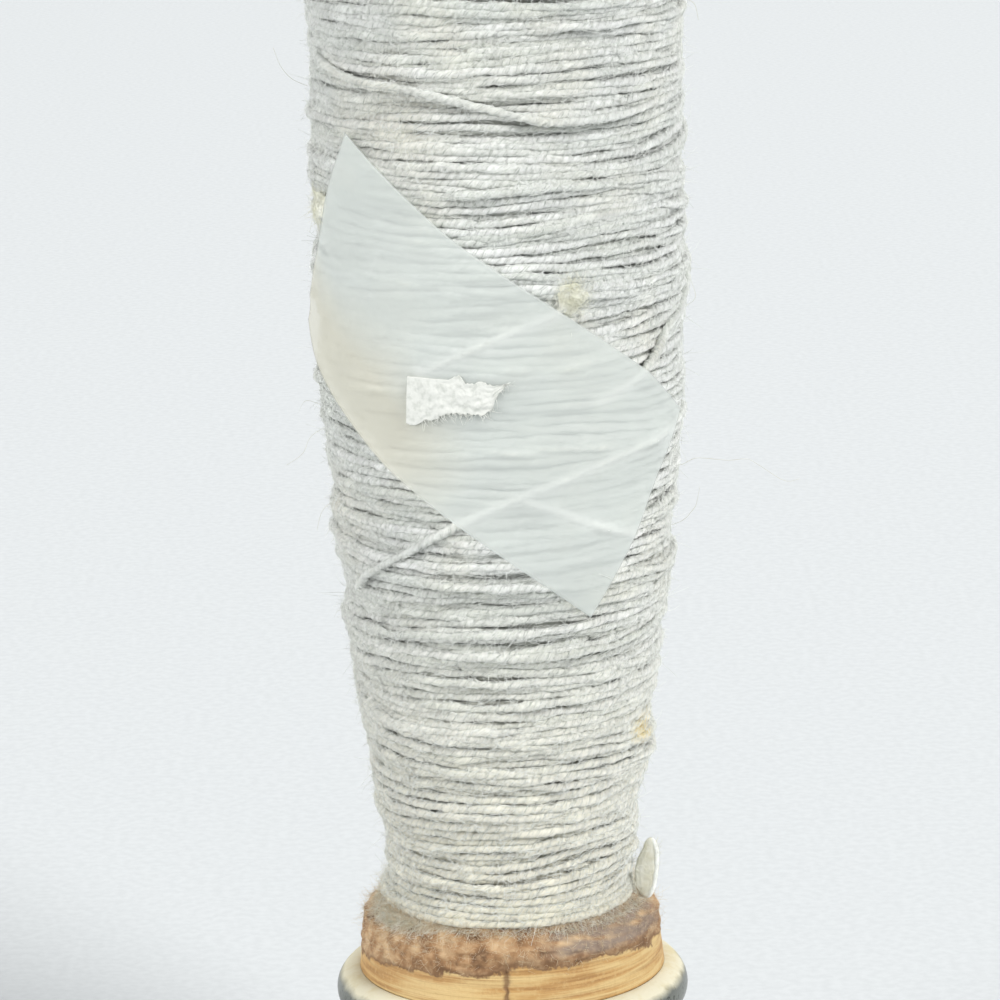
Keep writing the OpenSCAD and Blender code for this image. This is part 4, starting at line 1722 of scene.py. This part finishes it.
@dataclass
class LooseFibre:
    """Fuzz on the turns, fibre matted on the shoulder, and a few long fibres that stand off."""

    package: YarnPackage
    tape: TapeStrip
    seed: int = 91
    a_piece: int = 7000
    # A real fibre is about 0.008 mm in radius, too fine to show, so it is drawn coarser.
    fibre_r: float = 0.02
    fibre_tip: float = 0.5
    # Short fibres that stand off the turns, on the lower and the upper ones.
    standing: int = 24500
    upper: int = 9000
    # Fibres that lie across the turns.
    lying: int = 42000
    lie_knots: int = 4
    # White fibre at the foot: most is matted on the shoulder in a narrow band with one wider patch.
    hem: int = 6000
    matted_share: float = 0.62
    patch_share: float = 0.5
    patch_deg: float = -60.0
    patch_reach_deg: float = 12.0
    patch_w: float = 1.1
    band_in: float = 0.4
    band_w: float = 0.4
    bevel_slope: float = 0.765
    # Long fibres off the sides.
    flyaway: tuple[Points, ...] = (
        ((12.6, 0, 57.2), (13.5, -0.8, 57.7), (14.3, -0.8, 58.1), (15.2, -0.8, 58.1), (16.9, -0.8, 57.9),
         (18.2, -0.8, 58.0), (19.0, -0.8, 57.6), (20.6, -0.8, 56.5), (21.4, -0.8, 56.2), (22.2, -0.8, 56.4)),
        ((12.6, 0, 52.8), (13.5, -0.8, 53.4), (14.3, -0.8, 54.3), (14.5, -0.8, 54.8), (14.7, -0.8, 55.9)),
        ((-13.9, 0, 86.6), (-15.0, -0.5, 87.2), (-15.8, -0.8, 88.2), (-16.3, -1, 89.6)),
        ((-12.4, 0, 60.9), (-13.3, 0, 60.8), (-14.4, -0.6, 60.2), (-15.0, -0.8, 59.0), (-16.2, -1, 58.2)),
        ((-12.0, 0, 55.3), (-13.0, 0, 55.0), (-13.7, -0.5, 54.4), (-14.1, -0.6, 53.0)),
        ((-12.4, 0, 62.2), (-13.2, 0, 62.4), (-14.6, -0.5, 63.0), (-15.2, -0.6, 62.2)),
        ((13.8, 0, 92.6), (14.6, -0.4, 92.2), (14.9, -0.5, 91.0)),
        ((13.7, 0, 69.5), (14.5, -0.4, 70.3), (14.2, -0.5, 71.6)),
    )

    def build(self) -> None:
        """Builds the fuzz, the foot's fibre and the stray fibres."""
        rng = Drift(self.seed).rng
        top = self.package.top
        fine = np.flatnonzero(top.z < self.package.fine_z)
        coarse = np.flatnonzero(top.z >= self.package.fine_z)
        self.make_fibres("fuzz_lower_turns", self.stand(fine, self.standing, rng), rng)
        self.make_fibres("fuzz_upper_turns", self.stand(coarse, self.upper, rng), rng)
        self.make_fibres("matted_fibre", self.mat(self.lying, rng), rng)
        self.make_fibres("foot_fibre", self.fringe(self.hem, rng), rng, 0.7, LINT)
        draft = MeshDraft()
        for points in self.flyaway:
            path = through(points, 24)
            add_fibres(draft, path[None], 0.024, 0.6, rng)
        draft.make("flyaway_fibres", LINT, Slot.YARN)

    def make_fibres(
        self, name: str, paths: Array, rng: Random, size: float = 1.0,
        finish: Finish = RAISED_FIBRE,
    ) -> None:
        """Makes fibres into pieces of a few thousand each.

        Args:
            name: What the pieces' names start with.
            paths: The fibres' points, by fibre and then along it.
            rng: Where the random turn of each fibre comes from.
            size: Their radius, as a share of the usual one.
            finish: Their finish.
        """
        for i, first in enumerate(range(0, len(paths), self.a_piece)):
            some = paths[first:first + self.a_piece]
            draft = MeshDraft()
            add_fibres(draft, some, self.fibre_r * size, self.fibre_tip, rng)
            draft.make(f"{name}_{i + 1:02d}", finish, Slot.YARN)

    def stand(self, chosen: Array, count: int, rng: Random) -> Array:
        """Places short fibres that stand off the turns.

        Args:
            chosen: Numbers of the points of the top layer that they may grow from.
            count: How many are tried. Those under the tape are left out.
            rng: Where their places come from.

        Returns:
            The fibres' points, by fibre and then along it.
        """
        top = self.package.top
        pick = rng.choice(chosen, count)
        pick = pick[~self.tape.covers(top.angle[pick], top.z[pick], 0.5)]
        count = len(pick)
        up = np.array([0, 0, 1.0])
        outward = on_axis(top.angle[pick], 1.0, 0.0)
        along = on_axis(top.angle[pick] + math.pi / 2, 1.0, 0.0)
        lean = rng.normal(0, 0.6, count)[:, None]
        face = unit(outward * np.cos(lean) + up * np.sin(lean))
        root = on_axis(top.angle[pick], top.r[pick], top.z[pick])
        root = root + face * 0.9 * top.thick[pick][:, None]
        ahead, rise = (rng.normal(0, sway, (count, 1)) for sway in (1.1, 0.6))
        heading = unit(face + (ahead * along + rise * up))
        reach = np.clip(rng.lognormal(-0.85, 0.5, count), 0.15, 1.25)[:, None, None]
        bend = rng.normal(0, 0.55, (count, 1, 3)) - 0.3 * outward[:, None]
        return swept(root, heading, bend, reach, 4)

    def mat(self, count: int, rng: Random) -> Array:
        """Places fibres that lie across the turns.

        Args:
            count: How many are tried. Those under the tape are left out.
            rng: Where their places come from.

        Returns:
            The fibres' points, by fibre and then along it.
        """
        shape = self.package.shape
        start, least = (shape.seat_z + room for room in (0.3, 0.1))
        angle = rng.uniform(-math.pi, math.pi, count)
        z = rng.uniform(start, self.package.fine_z, count)
        clear = ~self.tape.covers(angle, z, 1.0)
        angle, z = angle[clear], z[clear]
        count = len(angle)
        t = np.linspace(-0.5, 0.5, self.lie_knots)[None]
        heading = rng.normal(0.35, 0.7, (count, 1)) + rng.normal(0, 1.1, (count, 1)) * t
        step = np.clip(rng.lognormal(-0.1, 0.5, (count, 1)), 0.3, 3.0) / self.lie_knots
        path_angle = angle[:, None] + np.cumsum(np.cos(heading), 1) * step / shape.radius(z)[:, None]
        path_z = np.maximum(z[:, None] + np.cumsum(np.sin(heading), 1) * step, least)
        ground = self.package.relief.stretched(0.16, 0.12).at(path_angle, path_z)
        lift = np.abs(rng.normal(0, 0.05, (count, 1)))
        return on_axis(path_angle, ground + lift, path_z)

    def fringe(self, count: int, rng: Random) -> Array:
        """Places the fibre at the foot, matted on the shoulder or hanging from the lowest turns.

        Args:
            count: How many fibres there are.
            rng: Where their places come from.

        Returns:
            The fibres' points, by fibre and then along it.
        """
        shape = self.package.shape
        matted = rng.random(count) < self.matted_share
        patch = matted & (rng.random(count) < self.patch_share)
        around = rng.normal(math.radians(self.patch_deg), math.radians(self.patch_reach_deg), count)
        angle = np.where(patch, around, rng.uniform(-math.pi, math.pi, count))
        wide = rng.beta(1.0, 1.6, count) * np.where(patch, self.patch_w, self.band_w)
        off = np.where(matted, self.band_in + wide, rng.uniform(0.05, 0.4, count))
        bevel = rng.uniform(0.1, 0.32, count) - self.bevel_slope * off
        rise = np.where(matted, bevel, rng.beta(1.0, 2.2, count) * 2.6)
        root = on_axis(angle, shape.foot_r + off, shape.seat_z + rise)
        outward = on_axis(angle, 1.0, 0.0)
        fall = np.array([0, 0, -0.75])
        out = outward * rng.uniform(0.3, 1.1, (count, 1))
        heading = unit(out + fall + rng.normal(0, 0.9, (count, 3)))
        clear = on_axis(angle, 0.61, 0.79)
        heading = unit(heading - 0.85 * np.sum(heading * clear, 1, keepdims=True) * clear)
        reach = rng.uniform(0.08, 0.5, (count, 1, 1))
        bend = rng.normal(0, 0.5, (count, 1, 3)) + 0.3 * outward[:, None]
        return swept(root, heading, bend, reach, 6)


@dataclass
class WoodBody:
    """The turned body: butt with its ring grooves, shoulder, barrel and bore."""

    shape: PackageShape
    butt_r: float = 11.7
    edge_r: float = 11.2
    edge_z: float = 23.0
    neck_z: float = 18.55
    base_round: float = 1.0
    ring_z: tuple[float, ...] = (4.8, 10.8, 16.8)
    ring_mid_r: float = 11.75
    groove_r: float = 1.79
    seat_bore_r: float = 6.0
    seat_bore_l: float = 20.0
    mouth: float = 0.6
    blade_bore_r: float = 3.4
    cone_h: float = 3.0
    hold_first: float = 14.0
    hold_pitch: float = 20.0
    hold_w: float = 1.6
    hold_depth: float = 0.4
    tip_plain: float = 9.0
    tip_round: float = 1.2
    # Distance between two points of the outline on the shoulder, and columns round the axis.
    fine: float = 0.11
    columns: int = 270
    seed: int = 33
    # The crack: angle, reach of the finer mesh, ends, path as an angle by height, and width by height.
    crack_deg: float = -2.3
    crack_reach_deg: float = 3.0
    crack_z: Pair = (14.5, 22.3)
    crack_path: Points = ((14, 0.0), (17, 0.006), (19.8, 0.002), (21.3, -0.002), (22.6, -0.0075))
    crack_w: Points = ((19.5, 0.24), (21.8, 0.1))
    # The grime's lower edge as a height by degrees, and waves on it, each with a number that tightens them.
    grime_edge: Points = (
        (-180, 20.6), (-83, 19.6), (-60, 20.5), (-40, 20.9), (-15, 21.2), (4, 21.75), (50, 21.8), (80, 21.2),
        (180, 20.6),
    )
    grime_waves: tuple[tuple[int, Waves], ...] = ((3, ((2.0, 8.0), 12, 0.14)), (11, ((1.0, 5), 12, 0.17)))
    # How far the greyed part shows.
    grey_level: float = 0.95
    # Fibres of lint on the shoulder.
    lint: int = 9000

    def profile(self) -> Array:
        """Gives the outline that was turned, from the mouth of the seat out and up, and back down the bore.

        Returns:
            Radius and height at each point, in order.
        """
        shape = self.shape
        quarter = np.linspace(0, math.pi / 2, 7)
        dip = np.linspace(-1.54, 1.54, 15)
        points = [(self.seat_bore_r + self.mouth, 0.0)]
        for a in quarter:
            inward, up = self.base_round * (1 - math.sin(a)), self.base_round * (1 - math.cos(a))
            points.append((self.butt_r - inward, up))
        for z in self.ring_z:
            for a in dip:
                inward, up = self.groove_r * math.cos(a), self.groove_r * math.sin(a)
                points.append((self.ring_mid_r - inward, z + up))
        points += [(self.butt_r, self.neck_z), (self.edge_r, self.edge_z), (shape.foot_r, shape.seat_z)]
        points += [(shape.barrel_base_r, shape.seat_z)]
        z = shape.seat_z + self.hold_first
        half = self.hold_w / 2
        while z < shape.overall - self.tip_plain:
            points += [(shape.barrel(z - half), z - half), (shape.barrel(z) - self.hold_depth, z)]
            points += [(shape.barrel(z + half), z + half)]
            z += self.hold_pitch
        tip = shape.barrel_tip_r - self.tip_round
        for a in quarter:
            outward, drop = self.tip_round * math.cos(a), self.tip_round * (1 - math.sin(a))
            points.append((tip + outward, shape.overall - drop))
        points += [(self.blade_bore_r, shape.overall), (self.blade_bore_r, self.seat_bore_l + self.cone_h)]
        points += [(self.seat_bore_r, self.seat_bore_l), (self.seat_bore_r, self.mouth)]
        return np.array(points + points[:1])

    def refined(self) -> Array:
        """Gives the outline with points close together on the shoulder, and wider apart elsewhere.

        Returns:
            Radius and height at each point, in order.
        """
        outline = self.profile()
        fine = []
        for a, b in zip(outline[:-1], outline[1:]):
            shows = min(a[1], b[1]) > self.ring_z[-1] and max(a[1], b[1]) < self.shape.seat_z + 0.01
            step = self.fine if shows and max(a[0], b[0]) > self.shape.barrel_base_r + 1 else 3.0
            count = max(1, int(np.linalg.norm(b - a) / step))
            fine.append(a + (b - a) * (np.arange(count) / count)[:, None])
        return np.concatenate(fine + [outline[-1:]])

    def split(self, angle: Array, r: Array, z: Array) -> Array:
        """Gives the crack that runs down from the shoulder.

        Args:
            angle: Angles from the front, in radians.
            r: Distances from the axis.
            z: Heights.

        Returns:
            How open the wood is at each place, from 0 to 1.
        """
        wide, stray = (Drift(seed) for seed in (34, 35))
        path = math.radians(self.crack_deg) + between(z, self.crack_path)
        width = between(z, self.crack_w) * (1 + wide.line(z[:, :1], 0.3, 0.5))
        path = path + 0.006 * stray.line(z[:, :1], 0.35, 1.0)
        split = np.exp(-(wrapped(angle - path) * r / width) ** 2)
        low, high = self.crack_z
        return split * grown(z, low, 0.6) * grown(-z, -high, 1.2)

    def build(self) -> None:
        """Builds the body with its worn shoulder, grime and crack."""
        drift = Drift(self.seed)
        outline = self.refined()
        reach = self.crack_reach_deg
        near = np.linspace(-reach, reach, 61)
        far = np.linspace(reach, 360 - reach, self.columns)[1:-1]
        angle = math.radians(self.crack_deg) + np.radians(np.concatenate([near, far]))[None]
        r, z = (np.repeat(outline[:, i:i + 1], angle.shape[1], 1) for i in range(2))
        outside = (outline[:, :1] > self.shape.foot_r - 0.6) & (outline[:, 1:] > 0.5)
        turned = np.degrees(wrapped(angle))
        edge = between(turned, self.grime_edge)
        for tight, waves in self.grime_waves:
            edge = edge + drift.swell(angle * tight, z, *waves)
        above = np.where(outside, np.clip(z - edge, -1, 2), -1)
        # Painted shade: at the sides the grime mark is held lower, so the dark rim colour spreads and the
        # sides look darker.
        side_shade = 0.8 * grown(np.abs(turned), 48, 24)
        above = above - side_shade * np.maximum(above - 0.5, 0)
        thick = ease(above * 2.0)
        felt = 0.075 * thick * (1 + drift.swell(angle * 8, z, (0.6, 1.6), 16, 0.8))
        tool = 0.018 * drift.line(z[:, :1], 0.16, 1.0) * outside
        worn = 0.05 * drift.swell(angle * 5, z, (0.8, 3), 12, 1.0)
        worn = worn * np.where(outside, grown(z, 17.5, 2.0), 0) * grown(z, 22.0, 1.0)
        felt = felt + 0.012 * thick * drift.rng.normal(0, 1, r.shape)
        split = self.split(angle, r, z) * outside
        r = r + (felt + tool + worn) * (r < 11.9) - 0.16 * split
        greyed = grown(turned, 5, 25) * grown(-turned, -95, 30) * grown(z, 21.9, 0.6)
        greyed = greyed * (self.grey_level + drift.swell(angle * 9, z, (0.4, 1.4), 16, 0.3))
        draft = MeshDraft()
        add_grid(
            draft, on_axis(angle, r, z), True, grime=above, felt=np.clip(greyed, 0, self.grey_level),
            crack=np.clip(split, 0, 0.75),
        )
        draft.make("turned_wood_body", MAPLE, Slot.WOOD, "wooden_barrel")
        self.build_lint(drift.rng)

    def build_lint(self, rng: Random) -> None:
        """Builds the lint that has gathered on the shoulder, thickest at the left and against the yarn.

        Args:
            rng: Where the fibres' places come from.
        """
        count, shape = self.lint, self.shape
        left = rng.random(count) < 0.35
        angle = np.where(left, rng.normal(-1.0, 0.35, count), rng.uniform(-math.pi, math.pi, count))
        close = rng.random(count) < 0.6
        share = np.where(close, rng.beta(1.2, 4.0, count), rng.uniform(0, 1.6, count))
        held = np.minimum(share, 1)
        bevel_r = shape.foot_r + (self.edge_r - shape.foot_r) * held
        bevel_z = shape.seat_z - (shape.seat_z - self.edge_z) * held
        bevel_z = bevel_z - np.maximum(share - 1, 0) * 3.0
        root = on_axis(angle, bevel_r + 0.12, bevel_z + 0.05)
        outward = on_axis(angle, 0.75, 0.65)
        heading = unit(0.25 * outward + rng.normal(0, 0.6, (count, 3)))
        reach = np.clip(rng.lognormal(-1.4, 0.45, count), 0.08, 0.4)[:, None, None]
        bend, curl = (rng.normal(0, size, (count, 1, 3)) for size in (0.9, 0.8))
        draft = MeshDraft()
        paths = swept(root, heading, bend, reach, 4, curl)
        add_fibres(draft, paths, 0.011, 0.5, rng)
        draft.make("shoulder_lint", DUSTY_LINT, Slot.YARN)


@dataclass
class WireRings:
    """Three rings of round wire, sprung into the butt's grooves."""

    wood: WoodBody
    nodes: tuple[str, ...] = ("lower_ring", "middle_ring", "upper_ring")
    wire_r: float = 1.75
    gap: float = 1.2
    top_gap_deg: float = 150.0
    stagger_deg: float = 40.0
    end_round: float = 0.35
    mesh: tuple[int, int] = (420, 36)
    seed: int = 80

    def build(self) -> None:
        """Builds the rings, with rounded wire ends at each opening."""
        mid_r = self.wood.ring_mid_r
        for i, (node, z) in enumerate(zip(self.nodes, self.wood.ring_z)):
            opening = self.gap / 2 / mid_r
            middle = math.radians(self.top_gap_deg + self.stagger_deg * (len(self.nodes) - 1 - i))
            along = np.linspace(middle + opening, middle + 2 * math.pi - opening, self.mesh[0])
            run = (along - along[0]) * mid_r
            ends = np.clip(np.minimum(run, run[-1] - run) / self.end_round, 0, 1)
            size = self.wire_r - self.end_round * (1 - np.sqrt(1 - (1 - ends) ** 2))
            turn = circle(self.mesh[1])[None]
            dent = 1 + 0.006 * Drift(self.seed + i).line(run, 3.0, 1.0)[:, None] * np.cos(2 * turn)
            r = mid_r + size[:, None] * dent * np.cos(turn)
            height = z + size[:, None] * dent * np.sin(turn)
            draft = MeshDraft()
            add_tube(draft, on_axis(along[:, None], r, height))
            draft.make(f"{node}_wire", WIRE, Slot.STEEL, node)


def set_up(thing: bpy.types.Object, right: Array, up: Array, back: Array, place: Array) -> None:
    """Turns a camera or lamp, puts it in its place and links it to the scene.

    Args:
        thing: The camera or lamp.
        right: Which way its right side faces.
        up: Which way its top faces.
        back: Which way its back faces.
        place: Where it is, in millimetres.
    """
    turn = np.eye(4)
    turn[:3] = np.stack([right, up, back, np.array(place) * MM], -1)
    thing.matrix_world = Matrix(turn.tolist())
    bpy.context.scene.collection.objects.link(thing)


@dataclass(frozen=True)
class PhotoCamera:
    """The camera at the photograph's viewing angle, for a square picture."""

    picture_px: float = 1000.0
    focal_px: float = 4638.0
    distance: float = 339.2
    height: float = 136.657
    pitch_deg: float = 13.54
    yaw_deg: float = -0.0494
    roll_deg: float = 1.05
    sensor: float = 36.0
    clip_m: Pair = (0.01, 100.0)

    def make(self) -> None:
        """Makes the camera and gives it to the scene."""
        pitch, yaw, roll = (math.radians(a) for a in (self.pitch_deg, self.yaw_deg, self.roll_deg))
        ahead = np.array([math.sin(yaw) * math.cos(pitch), math.cos(yaw) * math.cos(pitch), -math.sin(pitch)])
        level = unit(np.cross(ahead, [0, 0, 1]))
        above = np.cross(level, ahead)
        right = math.cos(roll) * level - math.sin(roll) * above
        up = math.cos(roll) * above + math.sin(roll) * level
        data = bpy.data.cameras.new("photo_camera")
        data.sensor_width = self.sensor
        data.lens = self.sensor * self.focal_px / self.picture_px
        data.clip_start, data.clip_end = self.clip_m
        camera = bpy.data.objects.new("photo_camera", data)
        set_up(camera, right, up, -ahead, (0, -self.distance, self.height))
        bpy.context.scene.camera = camera


@dataclass(frozen=True)
class Lamp:
    """One soft area lamp, aimed at the object."""

    name: str
    place: Triple
    size: float
    watts: float
    aim_z: float = 60.0

    def make(self) -> None:
        """Makes the lamp and turns it to the object."""
        data = bpy.data.lights.new(self.name, "AREA")
        data.shape = "DISK"
        data.size = self.size * MM
        data.energy = self.watts
        back = unit(np.array(self.place) - np.array([0, 0, self.aim_z]))
        right = unit(np.cross([0, 0, 1], back))
        set_up(bpy.data.objects.new(self.name, data), right, np.cross(back, right), back, self.place)


@dataclass
class Studio:
    """Floor, lamps, world and camera."""

    floor_r: float = 1300.0
    floor_sides: int = 180
    sky: str = "#d8dadb"
    sky_level: float = 0.55
    backdrop: str = "#dde0e2"
    lamps: tuple[Lamp, ...] = (
        Lamp("key_lamp", (5400, -4540, 5290), 4056, 684.0),
        Lamp("fill_lamp", (-7600, -3040, 2484), 6552, 544.0),
        Lamp("back_lamp", (1872, 7176, 4980), 5616, 288.0),
    )

    def build(self) -> None:
        """Builds the stage and sets the view to plain colour."""
        PhotoCamera().make()
        for lamp in self.lamps:
            lamp.make()
        rim = on_axis(circle(self.floor_sides), self.floor_r * MM, 0.0)
        mesh = bpy.data.meshes.new("floor")
        mesh.from_pydata(rim.tolist(), [], [tuple(range(len(rim)))])
        mesh.materials.append(StudioFloor().material())
        floor = bpy.data.objects.new("floor", mesh)
        bpy.context.scene.collection.objects.link(floor)
        self.light_world()
        bpy.context.scene.view_settings.view_transform = "Standard"

    def light_world(self) -> None:
        """Makes the world: a soft sky for the light, and a paler backdrop that is only seen."""
        world = bpy.data.worlds.new("studio_world")
        world.use_nodes = True
        tree = world.node_tree
        light = tree.nodes["Background"]
        light.inputs["Color"].default_value = linear(self.sky)
        light.inputs["Strength"].default_value = self.sky_level
        seen = add_node(tree, "Background", {"Color": self.backdrop})
        path = add_node(tree, "LightPath").node.outputs
        shown = path["Is Camera Ray"]
        for ray in ("Is Glossy Ray", "Is Transmission Ray"):
            shown = add_node(tree, "Math", (shown, path[ray]), operation="MAXIMUM")
        mixed = add_node(tree, "MixShader", (shown, light.outputs[0], seen))
        tree.links.new(mixed, tree.nodes["World Output"].inputs["Surface"])
        bpy.context.scene.world = world


def main() -> None:
    """Builds the stage and every sub-assembly, in order."""
    logging.basicConfig(level=logging.INFO, format="%(name)s: %(message)s")
    Studio().build()
    shape = PackageShape()
    wood = WoodBody(shape)
    wood.build()
    WireRings(wood).build()
    package = YarnPackage(shape)
    package.build()
    tape = TapeStrip(package)
    StrayYarn(package, tape).build()
    tape.build()
    # The front slub hangs on the tape's upper edge, and the side slub has its own place.
    front = (float(x) for x in tape.place(np.array(2.35), np.array(tape.width / 2 + 1.3)))
    Slub(package, "front_slub_lint", "front_slub", 51, *front, (1.4, 1.45)).build()
    Slub(package, "side_slub_lint", "side_slub", 52, math.radians(-74), 78.2, (1.9, 1.45)).build()
    FrayedEnd().build()
    PaperScrap(tape).build()
    LooseFibre(package, tape).build()


if __name__ == "__main__":
    main()
